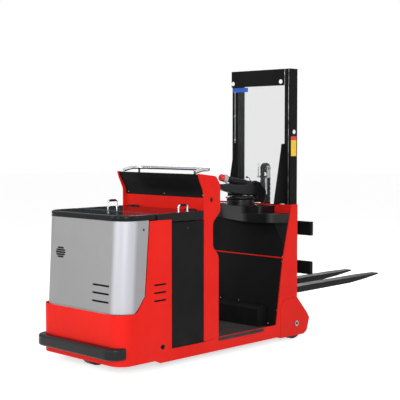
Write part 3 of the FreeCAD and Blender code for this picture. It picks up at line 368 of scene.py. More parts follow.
materials["clear"] = clearFinish()
materials["foam"] = leatherFinish()
nodeFinish = {"battery_lid": "gloss_black", "hood_cap": "gloss_black", "floor_mat": "mat_rubber"}
satinNodes = ("bumper", "console", "tiller_turret", "tiller_arm", "tiller_grip", "chain_pulley")
nodeFinish.update(dict.fromkeys(satinNodes, "satin_black"))
for name, piece in nodes.items():
    piece.data.materials.clear()
    piece.data.materials.append(materials[nodeFinish.get(name, slotOf[name])])
print("finishes made,", len(materials))

# places are given in millimetres from the skirt's rear face, the centre plane and the floor
hubLow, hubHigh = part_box("drive_hub")
hubFromSkirt = 0.150
skirtX = (hubLow.x + hubHigh.x) / 2 - hubFromSkirt


def fromSkirt(places):
    return np.asarray(places, float) / 1000.0 + (skirtX, 0.0, 0.0)


# hinge knuckles are sprayed in the colour of the sheet that they lie against, above or below the hinge's axis
hinges = [dict(node="hood_cowl", axis=1, centre=(2.0, 394.3), above=False, finish="red_paint"),
          dict(node="rear_shell", axis=1, centre=(2.0, 394.3), above=True, finish="silver_paint"),
          dict(node="battery_door_right", axis=0, centre=(-420.0, 123.3), above=False, finish="red_paint"),
          dict(node="battery_door_left", axis=0, centre=(420.0, 123.3), above=False, finish="red_paint"),
          dict(node="side_frame_right", axis=0, centre=(-420.0, 123.3), above=True, finish="black_paint"),
          dict(node="side_frame_left", axis=0, centre=(420.0, 123.3), above=True, finish="black_paint")]
knuckleReach = 4.3
for row in hinges:
    mesh = nodes[row["node"]].data
    middles = np.empty(len(mesh.polygons) * 3)
    mesh.polygons.foreach_get("center", middles)
    middles = (middles.reshape(-1, 3) - (skirtX, 0, 0)) * 1000
    away = middles[:, [1 - row["axis"], 2]] - row["centre"]
    near = (np.hypot(*away.T) < knuckleReach) & ((away[:, 1] > 0) == row["above"])
    mesh.materials.append(materials[row["finish"]])
    mesh.polygons.foreach_set("material_index", near.astype(np.int32))


# surfaces worked out as arrays

def gridFaces(rows, cols, wrapRows=False, wrapCols=False):
    i = np.arange(rows if wrapRows else rows - 1)[:, None]
    j = np.arange(cols if wrapCols else cols - 1)[None, :]
    nextRow, nextCol = (i + 1) % rows, (j + 1) % cols
    corners = (i * cols + j, i * cols + nextCol, nextRow * cols + nextCol, nextRow * cols + j)
    return np.stack(np.broadcast_arrays(*corners), -1).reshape(-1, 4)


def tubeFaces(rows, cols):
    # rings joined one to the next, and one face over each end
    ends = [list(range(cols))[::-1], [(rows - 1) * cols + k for k in range(cols)]]
    return [list(f) for f in gridFaces(rows, cols, wrapCols=True)] + ends


def addPiece(name, points, faces, finish, body, slot=None, smooth=True):
    mesh = bpy.data.meshes.new(name)
    mesh.from_pydata(np.asarray(points, float).reshape(-1, 3).tolist(), [], [list(f) for f in faces])
    mesh.validate()
    mesh.polygons.foreach_set("use_smooth", [smooth] * len(mesh.polygons))
    if smooth:
        mesh.set_sharp_from_angle(angle=0.6)
    mesh.materials.append(materials[finish])
    piece = bpy.data.objects.new(name, mesh)
    bpy.context.scene.collection.objects.link(piece)
    if body:
        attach(piece, body)
    return piece


def addShape(name, shape, finish, body, **more):
    # a shape is points and faces, its points in millimetres from the skirt
    points, faces = shape
    return addPiece(name, fromSkirt(points), faces, finish, body, **more)


def unit(v):
    v = np.asarray(v, float)
    return v / np.linalg.norm(v, axis=-1, keepdims=True)


def lathe(profile, centre, axis, sides=32, start=0.0):
    # radius and height of each ring are turned about the axis; both ends are closed by one face
    profile = np.asarray(profile, float)
    axis = unit(axis)
    across = unit(np.cross(axis, [0.31, 0.55, 0.77] if abs(axis[2]) > 0.5 else [0.0, 0.0, 1.0]))
    other = np.cross(axis, across)
    turn = start + np.arange(sides) * 2 * math.pi / sides
    ring = np.cos(turn)[:, None] * across + np.sin(turn)[:, None] * other
    points = np.asarray(centre) + profile[:, 0, None, None] * ring + profile[:, 1, None, None] * axis
    return points.reshape(-1, 3), tubeFaces(len(profile), sides)


def sweep(path, profile, up=(0.0, 0.0, 1.0), closed=False):
    # a closed profile is carried along the path, square to it, with its second axis nearest to up
    path, profile = np.asarray(path, float), np.asarray(profile, float)
    if closed:
        ahead = unit(np.roll(path, -1, 0) - np.roll(path, 1, 0))
    else:
        ahead = unit(np.gradient(path, axis=0))
    side = unit(np.cross(ahead, np.asarray(up, float)))
    top = np.cross(side, ahead)
    points = path[:, None] + profile[None, :, :1] * side[:, None] + profile[None, :, 1:] * top[:, None]
    rows, cols = len(path), len(profile)
    if closed:
        return points.reshape(-1, 3), gridFaces(rows, cols, wrapRows=True, wrapCols=True).tolist()
    return points.reshape(-1, 3), tubeFaces(rows, cols)


def circle(radius, sides=16):
    turn = np.arange(sides) * 2 * math.pi / sides
    return np.stack([np.cos(turn), np.sin(turn)], -1) * radius


def roundedBlock(centre, size, radius, turned=None, sides=24):
    # a ball's points are moved outwards by half the size less the radius, so flats open between quarters
    half = np.asarray(size, float) / 2 - radius
    around = (np.arange(sides) + 0.5) * 2 * math.pi / sides
    rise = (np.arange(sides // 2) + 0.5) / (sides // 2) * math.pi - math.pi / 2
    ball = np.stack([np.cos(rise)[:, None] * np.cos(around), np.cos(rise)[:, None] * np.sin(around),
                     np.repeat(np.sin(rise)[:, None], sides, 1)], -1)
    points = ball * radius + np.sign(ball) * half
    if turned is not None:
        points = points @ np.asarray(turned, float).T
    return points.reshape(-1, 3) + np.asarray(centre, float), tubeFaces(len(rise), sides)


def joinShapes(shapes):
    allPoints, allFaces, shift = [], [], 0
    for points, faces in shapes:
        allPoints.append(points)
        allFaces += [[k + shift for k in f] for f in faces]
        shift += len(points)
    return np.concatenate(allPoints), allFaces


def spline(points, count, closed=False):
    # Catmull-Rom curve through the points, at even steps of its parameter
    p = np.asarray(points, float)
    if not closed:
        p = np.concatenate([[2 * p[0] - p[1]], p, [2 * p[-1] - p[-2]]])
    spans = len(p) if closed else len(p) - 3
    t = np.linspace(0, spans, count, endpoint=not closed)
    k = np.minimum(t.astype(int), spans - 1)
    f = (t - k)[:, None]
    pick = (lambda n: p[(k + n - 1) % len(p)]) if closed else (lambda n: p[k + n])
    a, b, c, d = pick(0), pick(1), pick(2), pick(3)
    return 0.5 * (2 * b + (c - a) * f + (2 * a - 5 * b + 4 * c - d) * f ** 2
                  + (3 * b - a - 3 * c + d) * f ** 3)


def roundedLoop(half, low, high, corner, steps=8):
    # closed path in the y-z plane with a quarter circle at each corner
    turn = np.linspace(0, math.pi / 2, steps)
    quarter = np.stack([np.cos(turn), np.sin(turn)], -1) * corner
    centres = [(half - corner, high - corner), (corner - half, high - corner),
               (corner - half, low + corner), (half - corner, low + corner)]
    points = []
    for k, centre in enumerate(centres):
        c, d = math.cos(k * math.pi / 2), math.sin(k * math.pi / 2)
        points.append(quarter @ np.array([[c, d], [-d, c]]) + centre)
    return np.concatenate(points)


def bothSides(places):
    places = np.asarray(places, float)
    return np.concatenate([places, places * (1, -1, 1)])


# screws and bolts: rows of radius and height over one radius; a pair is given for the right side and mirrored
hexHead = [(1.35, 0.0), (1.35, 0.12), (1.0, 0.12), (1.0, 0.7), (0.86, 0.82), (0.3, 0.84)]
screwShapes = {
    "cap": dict(profile=[(1.0, 0.0), (1.0, 0.8), (0.9, 1.0), (0.52, 1.0), (0.48, 0.4)], sides=20,
                finish="steel"),
    "hex": dict(profile=hexHead, sides=6, finish="steel"),
    "dome": dict(profile=[(1.0, 0.0), (0.95, 0.25), (0.75, 0.48), (0.45, 0.6), (0.4, 0.3)], sides=18,
                 finish="steel"),
    "dark": dict(profile=hexHead, sides=6, finish="cast"),
    "plug": dict(profile=[(1.0, 0.0), (1.0, 0.3), (0.86, 0.42), (0.3, 0.34)], sides=28, finish="rubber"),
}


def ringOf(count, radius, centre, start=0.0):
    # places at even angles round a centre, in the plane of two axes
    turns = start + np.arange(count) * 2 * math.pi / count
    return [(centre[0] + radius * math.cos(t), centre[1] + radius * math.sin(t)) for t in turns]


wallUp, wallLow = (-0.9698, 0.0, 0.2438), (-0.9880, 0.0, 0.1542)
screws = {
    "trimScrews": dict(kind="dome", radius=5.0, axis=(-1, 0, 0), body="chassis",
                       places=[(785, -384, 1128), (785, 0, 1128), (785, 384, 1128)]),
    "upperWallScrews": dict(kind="dome", radius=5.0, axis=wallUp, body="chassis",
                            places=bothSides([(1620, -398, 635), (1679, -398, 870)])),
    "lowerWallScrews": dict(kind="dome", radius=5.0, axis=wallLow, body="chassis",
                            places=bothSides([(1612.5, -400, 600), (1557, -400, 240)])),
    "lowerWallFoot": dict(kind="dome", radius=5.0, axis=wallLow, body="chassis",
                          places=[(1541, -328, 137), (1562, -11, 272), (1562, 180, 272)]),
    "bulkheadBolts": dict(kind="hex", radius=7.0, axis=(1, 0, 0), body="chassis",
                          places=bothSides([(1770, y, z) for y in (-330, -388) for z in (400, 690, 985)])),
    "axleNuts": dict(pair=True, kind="dark", radius=7.5, axis=(0, -1, 0), body="chassis",
                     places=[(1756, -431, 120)]),
    "bracketBolts": dict(pair=True, kind="hex", radius=8.0, axis=(0, -1, 0), body="chassis",
                              places=[(1799, -293, z) for z in (210, 270, 810, 870)]),
    "rollerPins": dict(pair=True, kind="hex", radius=9.0, axis=(0, 1, 0), body="carriage",
                            places=[(1868, -205, z) for z in (527, 823)]),
    "pulleyPin": dict(pair=True, kind="hex", radius=8.0, axis=(0, -1, 0), body="lift_rod",
                      places=[(1886, -38, 1282)]),
    "driveHub": dict(pair=True, kind="hex", radius=5.5, axis=(0, -1, 0), body="drive_wheel",
                     places=[(x, -37, z) for x, z in ringOf(6, 52, (150, 115))]),
    "turntableBolts": dict(kind="hex", radius=6.0, axis=(0, 0, 1), body="chassis",
                           places=[(x, y, 342) for x, y in ringOf(12, 110, (150, 0), start=0.26)]),
    "motorBolts": dict(kind="cap", radius=5.0, axis=(0, 0, 1), body="drive_unit",
                       places=[(x, y, 640) for x, y in ringOf(6, 76, (150, 0))]),
    "pillarPlug": dict(pair=True, kind="plug", radius=15.8, axis=(0, -1, 0), body="chassis",
                       places=[(834, -411, 1097)]),
}
for name, row in screws.items():
    shape = screwShapes[row["kind"]]
    profile = np.array(shape["profile"]) * row["radius"] / 1000
    for side, way in (("Right", 1), ("Left", -1)) if row.get("pair") else (("", 1),):
        axis, places = (np.asarray(values, float) * (1, way, 1) for values in (row["axis"], row["places"]))
        shapes = [lathe(profile, place, axis, shape["sides"]) for place in fromSkirt(places)]
        addPiece(name + side, *joinShapes(shapes), shape["finish"], row["body"],
                 smooth=row["kind"] not in ("hex", "dark"))
print("screws placed,", len(screws))

# lift chain: link plates laced in turn over common pins
chain = dict(pitch=19.05, height=13.0, plate=2.9, lays=9, width=33.5, pin=3.4, tipSides=8,
             axisX=1886.0, pulleyZ=1282.0, radius=36.3, rearFoot=300.0, frontFoot=560.0)


def laceLinks(pins, first):
    # a plate's rim is a half circle about each of its pins; even links take the even lays,
    # and odd links the odd ones
    turn = np.linspace(-math.pi / 2, math.pi / 2, chain["tipSides"])
    pins = np.asarray(pins, float)
    along = unit(pins[1:] - pins[:-1])
    across = np.stack([-along[:, 2], 0 * along[:, 0], along[:, 0]], -1)
    tip = chain["height"] / 2 * (np.cos(turn)[None, :, None] * along[:, None]
                                 + np.sin(turn)[None, :, None] * across[:, None])
    rims = np.concatenate([pins[1:, None] + tip, pins[:-1, None] - tip], 1)
    step = chain["width"] / chain["lays"]
    shapes, sides = [], rims.shape[1]
    for i, rim in enumerate(rims):
        for lay in range((first + i) % 2, chain["lays"], 2):
            middle = (lay - (chain["lays"] - 1) / 2) * step
            walls = np.stack([rim + (0, middle + side * chain["plate"] / 2, 0) for side in (-1, 1)])
            shapes.append((walls.reshape(-1, 3), tubeFaces(2, sides)))
    half, pin = chain["width"] / 2, chain["pin"]
    rivet = [(pin, -half - 1.0), (pin, half + 1.0), (0.5 * pin, half + 1.6)]
    shapes += [lathe(rivet, place, (0, 1, 0), 10) for place in pins]
    return joinShapes(shapes)


rearX, frontX = chain["axisX"] - chain["radius"], chain["axisX"] + chain["radius"]
rearCount = round((chain["pulleyZ"] - chain["rearFoot"]) / chain["pitch"])
frontCount = round((chain["pulleyZ"] - chain["frontFoot"]) / chain["pitch"])
wrapCount = round(math.pi * chain["radius"] / chain["pitch"])
rearPins = [(rearX, 0, z) for z in np.linspace(chain["rearFoot"], chain["pulleyZ"], rearCount + 1)]
wrapPins = [(chain["axisX"] - chain["radius"] * math.cos(t), 0,
             chain["pulleyZ"] + chain["radius"] * math.sin(t)) for t in np.linspace(0, math.pi, wrapCount + 1)]
frontPins = [(frontX, 0, z) for z in np.linspace(chain["pulleyZ"], chain["frontFoot"], frontCount + 1)]
rearRun = addShape("leafChainRear", laceLinks(rearPins, 0), "chain_steel", None)
wrapRun = addShape("leafChainWrap", laceLinks(wrapPins, rearCount), "chain_steel", "lift_rod")
frontRun = addShape("leafChainFront", laceLinks(frontPins, rearCount + wrapCount), "chain_steel", None)
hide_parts("chain_rear")
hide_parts("chain_wrap")
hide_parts("chain_front")
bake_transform(rearRun)
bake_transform(frontRun)
anchors = {"chainAnchorRear": dict(place=(rearX, 0, 232), body="chassis"),
           "chainAnchorFront": dict(place=(frontX, 0, 492), body="carriage")}
for name, row in anchors.items():
    rodProfile = [(7.0, 0.0), (7.0, 40.0)]
    nut = [(12.0, 0.0), (12.0, 9.0)]
    foot = np.array(row["place"], float)
    shapes = [lathe(rodProfile, foot - (0, 0, 12), (0, 0, 1), 16)]
    shapes += [lathe(nut, foot + (0, 0, rise), (0, 0, 1), 6) for rise in (18, 8)]
    addShape(name, joinShapes(shapes), "steel", row["body"], smooth=False)
print("lift chain laced,", rearCount + wrapCount + frontCount, "links")

# backrest pad: a slab is remeshed, swollen as cloth under pressure, then its border seam is drawn in
pad = dict(rear=847.6, front=877.0, halfWidth=325.0, low=645.0, high=1055.0, edge=12.0, voxel=0.0075,
           pressure=4.0, frames=20, swell=0.0045, seamInset=20.0, seamWidth=3.5, seamDepth=2.2)


def padShape():
    size = (pad["front"] - pad["rear"], 2 * pad["halfWidth"], pad["high"] - pad["low"])
    middle = ((pad["front"] + pad["rear"]) / 2, 0, (pad["high"] + pad["low"]) / 2)
    return roundedBlock(middle, size, pad["edge"], sides=24)


def seamDrawn(points):
    # depth falls off with the square of the distance from a line run round inside the border
    local = (points - (skirtX, 0, 0)) * 1000
    across = pad["halfWidth"] - np.abs(local[:, 1])
    upright = np.minimum(local[:, 2] - pad["low"], pad["high"] - local[:, 2])
    reach = np.minimum(across, upright) - pad["seamInset"]
    ahead = np.clip((local[:, 0] - pad["front"] + 8.0) / 8.0, 0, 1)
    local[:, 0] -= pad["seamDepth"] * ahead * np.exp(-(reach / pad["seamWidth"]) ** 2)
    local[:, 0] = np.clip(local[:, 0], pad["rear"], pad["front"] + 3.6)
    return local / 1000 + (skirtX, 0, 0)


cushion = addShape("backrestCushion", padShape(), "foam", None, slot="foam")
bpy.context.view_layer.objects.active = cushion
remesh = cushion.modifiers.new("even", "REMESH")
remesh.mode = "VOXEL"
remesh.voxel_size = pad["voxel"]
bpy.ops.object.modifier_apply(modifier="even")


def readPoints(mesh):
    values = np.empty(len(mesh.vertices) * 3)
    mesh.vertices.foreach_get("co", values)
    return values.reshape(-1, 3)


before = readPoints(cushion.data)
cloth = cushion.modifiers.new("swell", "CLOTH")
cloth.settings.use_pressure = True
cloth.settings.uniform_pressure_force = pad["pressure"]
cloth.settings.effector_weights.gravity = 0.0
for number in range(1, pad["frames"] + 1):
    bpy.context.scene.frame_set(number)
swollen = cushion.evaluated_get(bpy.context.evaluated_depsgraph_get())
move = readPoints(swollen.data) - before
cushion.modifiers.remove(cloth)
bpy.context.scene.frame_set(1)
length = np.linalg.norm(move, axis=1, keepdims=True)
move *= np.minimum(1.0, pad["swell"] / np.maximum(length, 1e-9))
cushion.data.vertices.foreach_set("co", (before + move).ravel())
finer = cushion.modifiers.new("finer", "SUBSURF")
finer.levels = finer.render_levels = 1
bpy.ops.object.modifier_apply(modifier="finer")
cushion.data.vertices.foreach_set("co", seamDrawn(readPoints(cushion.data)).ravel())
cushion.data.polygons.foreach_set("use_smooth", [True] * len(cushion.data.polygons))
cushion.data.update()
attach(cushion, "chassis")
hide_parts("backrest_pad")


loop = roundedLoop(pad["halfWidth"] + 1.0, pad["low"] - 1.0, pad["high"] + 1.0, 24.0)
path = fromSkirt(np.column_stack([np.full(len(loop), 852.5), loop]))
addPiece("cushionPiping", *sweep(path, circle(0.0035, 10), up=(1, 0, 0), closed=True), "rubber", "chassis",
         slot="foam")
print("pad sewn")

# seal between the hood's cowl and its cap
capSeal = dict(rear=40.0, half=413.5, corner=123.0, front=311.0, z=992.0, radius=3.0)


def uPath(rear, half, corner, front, z, steps=14):
    # from one front end round both rear corners to the other
    turn = np.linspace(0, math.pi / 2, steps)
    bend = np.stack([corner * (1 - np.sin(turn)), corner * (1 - np.cos(turn))], -1)
    right = np.column_stack([rear + bend[:, 0], -half + bend[:, 1]])
    points = np.concatenate([[(front, -half)], right, right[::-1] * (1, -1), [(front, half)]])
    return np.column_stack([points, np.full(len(points), z)])


path = fromSkirt(uPath(capSeal["rear"], capSeal["half"], capSeal["corner"], capSeal["front"], capSeal["z"]))
addPiece("capSeal", *sweep(path, circle(capSeal["radius"] / 1000, 8)), "rubber", "hood")

# bail handles: a ribbed sleeve on the bar and a flange under each leg
bail = dict(x=612.0, y=364.0, top=1069.0, half=27.0, lid=1025.0, legs=42.0, ribs=7)
ribAt = np.linspace(-bail["half"], bail["half"], bail["ribs"] * 8 + 1)
ribHeight = 8.2 + 0.7 * np.sin((ribAt / bail["half"] * bail["ribs"]) * math.pi) ** 2
sleeve = [(6.1, -bail["half"] - 1.5)] + list(zip(ribHeight, ribAt)) + [(6.1, bail["half"] + 1.5)]
flange = [(13.0, 0.0), (13.0, 1.6), (11.5, 2.6), (7.0, 2.8), (6.2, 5.0)]
for side, sign in (("Right", -1), ("Left", 1)):
    shape = lathe(sleeve, (bail["x"], sign * bail["y"], bail["top"]), (1, 0, 0), 20)
    addShape("bailSleeve" + side, shape, "rubber", "battery_lid")
    shape = joinShapes([lathe(flange, (bail["x"] + way * bail["legs"], sign * bail["y"], bail["lid"]),
                              (0, 0, 1), 24) for way in (-1, 1)])
    addShape("bailFlanges" + side, shape, "chrome", "battery_lid")

# lock cylinders with a key slot, in the hood's and the doors' holes
locks = {"hoodLockRight": dict(place=(212, -408.5, 930), way=-1, radius=8.2, body="hood"),
         "hoodLockLeft": dict(place=(212, 408.5, 930), way=1, radius=8.2, body="hood"),
         "doorLockRight": dict(place=(612, -414, 917), way=-1, radius=11.0, body="door_right"),
         "doorLockLeft": dict(place=(612, 414, 917), way=1, radius=11.0, body="door_left")}
for name, row in locks.items():
    r = row["radius"]
    profile = [(r, -2.0), (r, 1.2), (0.9 * r, 1.8), (0.62 * r, 1.8), (0.6 * r, 0.9), (0.3 * r, 0.9)]
    barrel = lathe(profile, row["place"], (0, row["way"], 0), 28)
    tongue = roundedBlock(np.add(row["place"], (0, 1.1 * row["way"], 0)), (0.18 * r, 0.8, 0.7 * r), 0.2,
                          sides=8)
    addShape(name, joinShapes([barrel, tongue]), "cast", row["body"])
print("handles and locks fitted")

# rubber lips round the slots, laid on the raked rear face and on the posts
rake = dict(foot=8.0, lean=34.0 / 597.7, low=394.3)
rim = dict(grille=2.2, slot=1.5, hole=2.6)
postSlots = [((348.5, z), (53.5, 4.0)) for z in (562, 510, 457)]
lips = {"rearSlotLips": dict(body="hood", face="rear",
                             slots=[((-211.5, z), (81.5, 4.0)) for z in (571, 519, 466)]),
        "grilleLips": dict(body="hood", face="rear",
                           slots=[((221, 752 + 15 * k), (half, 3.0)) for k, half in
                                  ((-2, 30), (-1, 44), (0, 50), (1, 44), (2, 30))]),
        "postLipsRight": dict(body="chassis", face="right", slots=postSlots),
        "postLipsLeft": dict(body="chassis", face="left", slots=postSlots),
        "towLipRight": dict(body="chassis", face="right", slots=[((371, 146), (17.0, 13.0))]),
        "towLipLeft": dict(body="chassis", face="left", slots=[((371, 146), (17.0, 13.0))])}
for name, row in lips.items():
    shapes = []
    wide = rim["grille" if "grille" in name else "hole" if "tow" in name else "slot"]
    for (across, z), (half, high) in row["slots"]:
        more = 0.4 * wide
        loop = roundedLoop(half + more, -high - more, high + more, high + 0.39 * wide, steps=7)
        loop = loop + (across, z)
        if row["face"] == "rear":
            path = np.column_stack([rake["foot"] + rake["lean"] * (loop[:, 1] - rake["low"]), loop])
            up = (-1.0, 0.0, rake["lean"])
        else:
            way = -1.0 if row["face"] == "right" else 1.0
            path = np.column_stack([loop[:, 0], np.full(len(loop), 420.0 * way), loop[:, 1]])
            up = (0.0, way, 0.0)
        shapes.append(sweep(path, circle(wide, 8) * (1.0, 0.5 / wide), up=up, closed=True))
    addShape(name, joinShapes(shapes), "rubber", row["body"])

# pale strip along the hood's slanted front edges: a painted highlight on those edges
highlightLine = np.array([(150.0, 414.5), (208.0, 490.8), (212.8, 500.0), (216.2, 514.0), (235.0, 744.0),
                     (254.8, 986.0)])
for side, way in (("Right", -1), ("Left", 1)):
    path = np.column_stack([highlightLine[:, 0], np.full(len(highlightLine), 411.6 * way), highlightLine[:, 1]])
    shape = sweep(spline(path, 40), circle(1.3, 8), up=(0, way, 0))
    addShape("hoodEdge" + side, shape, "light_plastic", "hood")

# horn behind the grille: a dished disc with rings
horn = dict(place=(36.0, 221.0, 752.0), radius=52.0)
around = np.linspace(0, 1, 26)
dish = [(horn["radius"] * (1 - t), 0.6 + 1.2 * math.cos(t * 26)) for t in around[:-1]]
shape = lathe([(horn["radius"], -12.0)] + dish, horn["place"], (-1, 0, 0), 40)
addShape("hornDisc", shape, "black_plastic", "hood")

# rider's mat: rows of low studs, every second row shifted by half a step
studs = dict(x=(862.0, 1436.0), y=(-392.0, 392.0), step=22.0, radius=6.0, height=1.6, z=117.0, sides=8)
xs = np.arange(studs["x"][0], studs["x"][1], studs["step"])
ys = np.arange(studs["y"][0], studs["y"][1], studs["step"])
grid = np.array([(x, y + (i % 2) * studs["step"] / 2, studs["z"]) for i, x in enumerate(xs) for y in ys
                 if y + (i % 2) * studs["step"] / 2 < studs["y"][1]])
turn = np.arange(studs["sides"]) * 2 * math.pi / studs["sides"]
studRings = ((1.0, -0.3), (1.0, 0.6), (0.7, 1.0))  # radius and height, as shares of the stud's own
rims = np.stack([np.column_stack([np.cos(turn) * studs["radius"] * k, np.sin(turn) * studs["radius"] * k,
                                  np.full(len(turn), studs["height"] * h)]) for k, h in studRings])
points = grid[:, None, None] + rims[None]
one = tubeFaces(3, studs["sides"])
faces = [[k + n * 3 * studs["sides"] for k in f] for n in range(len(grid)) for f in one]
addPiece("matStuds", fromSkirt(points.reshape(-1, 3)), faces, "mat_rubber", "chassis")
print("mat studded,", len(grid))

# blank labels, stripes and marks: flat patches a fraction of a millimetre thick
patches = {
    "crossbarDotRight": dict(kind="disc", centre=(1817, -210, 1952), axis=(-1, 0, 0), radius=17,
                             finish="sticker_white"),
    "crossbarDotLeft": dict(kind="disc", centre=(1817, 284, 1952), axis=(-1, 0, 0), radius=17,
                            finish="sticker_white"),
    "mastDot": dict(kind="disc", centre=(1870, -301, 1567), axis=(0, -1, 0), radius=17,
                    finish="sticker_white"),
    "mastLabelRed": dict(kind="block", low=(1834, -301.4, 1504), high=(1897, -301, 1534),
                         finish="red_plastic"),
    "mastLabelYellow": dict(kind="block", low=(1834, -301.4, 1382), high=(1897, -301, 1503.6),
                            finish="sticker_yellow"),
    "mastStripBlue": dict(kind="block", low=(1827, 135, 1883), high=(1828, 297, 1917), finish="sticker_blue"),
}


def blockShape(low, high):
    low, high = np.asarray(low, float), np.asarray(high, float)
    corners = np.array([(i, j, k) for k in (0, 1) for j in (0, 1) for i in (0, 1)])
    faces = [[0, 2, 3, 1], [4, 5, 7, 6], [0, 1, 5, 4], [2, 6, 7, 3], [0, 4, 6, 2], [1, 3, 7, 5]]
    return low + corners * (high - low), faces


for name, row in patches.items():
    if row["kind"] == "disc":
        r = row["radius"]
        shape = lathe([(r, 0.0), (r, 0.4), (r * 0.9, 0.5)], row["centre"], row["axis"], 32)
    else:
        shape = blockShape(row["low"], row["high"])
    addShape(name, shape, row["finish"], "chassis", smooth=False)

# painted highlights: bright glint strips down the mast's corners, and the thin cable with its two clips
glintStrips = [((1827.7, -281.5, 300), (1828.1, -277.5, 1921)), ((1816.7, -252, 1924), (1817.1, -247.5, 2046)),
         ((1816.7, -292, 1924), (1817.1, -288.5, 2046))]
addShape("mastGlints", joinShapes([blockShape(*row) for row in glintStrips]), "bare_edge", "chassis", smooth=False)
cable = sweep(np.array([(1825.5, 270, z) for z in np.linspace(1478, 1890, 12)]), circle(2.4, 8), up=(0, 1, 0))
clips = [roundedBlock((1825.5, 270, z), (9, 12, 14), 2.5, sides=12) for z in (1504, 1696)]
addShape("mastCable", joinShapes([cable] + clips), "light_plastic", "chassis")
print("labels laid")

# tiller: collars on the grip, push buttons, paddle, bent lever with its knob, base ring
tiller = dict(x=1606.0, y=12.0, turn=math.radians(18), top=1055.0,
              gripFront=(74.0, 110.0), gripRear=(-118.0, 152.0), gripRadius=(26.0, 21.0))


def onTiller(u, across, height):
    c, d = math.cos(tiller["turn"]), math.sin(tiller["turn"])
    return (tiller["x"] + u * c + across * d, tiller["y"] - u * d + across * c, tiller["top"] + height)


def tillerWay(u, across, height):
    return np.subtract(onTiller(u, across, height), onTiller(0, 0, 0))


front, rear = onTiller(tiller["gripFront"][0], 0, tiller["gripFront"][1]), onTiller(tiller["gripRear"][0], 0,
                                                                                  tiller["gripRear"][1])
along = np.subtract(rear, front)
length = np.linalg.norm(along)
ringAt = np.linspace(0.16, 0.97, 121)
swell = tiller["gripRadius"][0] + (tiller["gripRadius"][1] - tiller["gripRadius"][0]) * ringAt
grooves = swell + 1.3 - 0.9 * (np.abs(((ringAt * 14) % 1) - 0.5) < 0.12)
sleeve = list(zip(grooves, ringAt * length))
addShape("gripSleeve", lathe(sleeve, front, along, 36), "rubber", "tiller")
collar = [(21.5, length - 5.0), (24.5, length - 4.0), (24.5, length - 0.5), (21.5, length)]
addShape("gripCollar", lathe(collar, front, along, 36), "black_plastic", "tiller")
sideways = tillerWay(0, -1, 0)
buttons = []
for u, h, r in ((112, 112, 14.0), (148, 84, 11.0)):
    profile = [(r, -2.0), (r, 2.0), (r - 1.5, 3.0), (r - 4.0, 3.0), (r - 4.5, 1.4), (r - 7.0, 3.4), (1.0, 3.6)]
    buttons.append(lathe(profile, onTiller(u, -36, h), sideways, 28))
addShape("armButtons", joinShapes(buttons), "black_plastic", "tiller")
shape = roundedBlock(onTiller(-120, -6, 118), (24, 22, 12), 5.0, sides=20)
addShape("headPaddle", shape, "light_plastic", "tiller")
bent = spline([onTiller(*k) for k in ((92, 0, 128), (86, 0, 140), (74, -2, 158), (60, -2, 162))], 24)
wireLever = sweep(bent, circle(2.4, 10))
knob = lathe([(8.5 * math.sin(t), -8.5 * math.cos(t)) for t in np.linspace(0.25, math.pi - 0.05, 14)],
             onTiller(56, -2, 162), (0, 0, 1), 20)
boot = lathe([(9.0, 0.0), (8.0, 4.0), (5.0, 9.0), (3.0, 14.0)], onTiller(93, 0, 124),
             tillerWay(-0.3, 0, 1), 18)
addShape("sideLever", joinShapes([wireLever, knob, boot]), "black_plastic", "tiller")
turretCap = [(104.0, 0.4), (114.0, 3.0), (116.0, 6.0), (116.0, 11.0), (113.0, 14.0), (103.0, 15.5),
             (101.0, 18.5), (60.0, 19.5)]
shape = lathe(turretCap, (tiller["x"], tiller["y"], tiller["top"]), (0, 0, 1), 72)
addShape("turretCap", shape, "satin_black", "tiller")
shape = lathe([(111.5, 0.2), (111.5, 3.0), (109.5, 5.0), (107.2, 5.4)], (tiller["x"], tiller["y"], 1005),
              (0, 0, 1), 72)
addShape("turretRing", shape, "rubber", "tiller")
print("tiller dressed")

# battery: cell lids with filler caps, bridges between them, two thick leads
cells = dict(x=(505.0, 619.0, 733.0), rows=8, pitch=96.0, size=(98.0, 88.0, 12.0), top=940.0)
ys = (np.arange(cells["rows"]) - (cells["rows"] - 1) / 2) * cells["pitch"]
lids = [roundedBlock((x, y, cells["top"] + 3), cells["size"], 4.0, sides=12) for x in cells["x"] for y in ys]
addShape("cellLids", joinShapes(lids), "battery_grey", "chassis")
capProfile = [(15.0, 0.0), (15.0, 7.0), (12.5, 9.0), (12.0, 14.0), (5.0, 15.5)]
caps = [lathe(capProfile, (x, y, cells["top"] + 8), (0, 0, 1), 14) for x in cells["x"] for y in ys]
addShape("fillerCaps", joinShapes(caps), "black_plastic", "chassis", slot="battery_grey")
bridges = [roundedBlock((x + way * 33, (a + b) / 2, cells["top"] + 12), (16, 58, 7), 3.0, sides=12)
           for x in cells["x"] for way, start in ((-1, 0), (1, 1))
           for a, b in list(zip(ys, ys[1:]))[start::2]]
addShape("cellBridges", joinShapes(bridges), "cast", "chassis")
leads = {
    "leadRed": dict(finish="red_plastic", points=[
        (505, 336, 950), (492, 340, 966), (478, 300, 960), (476, 200, 958), (476, 60, 958), (470, 10, 955),
        (462, 4, 952)]),
    "leadBlack": dict(finish="rubber", points=[
        (733, 336, 950), (733, 352, 962), (700, 372, 960), (600, 382, 958), (500, 380, 958), (476, 340, 975),
        (468, 280, 962), (464, 120, 958), (461, 30, 954)])}
for name, row in leads.items():
    shape = sweep(spline(row["points"], 90), circle(6.5, 12))
    addShape(name, shape, row["finish"], "chassis", slot="battery_grey")
print("battery topped")

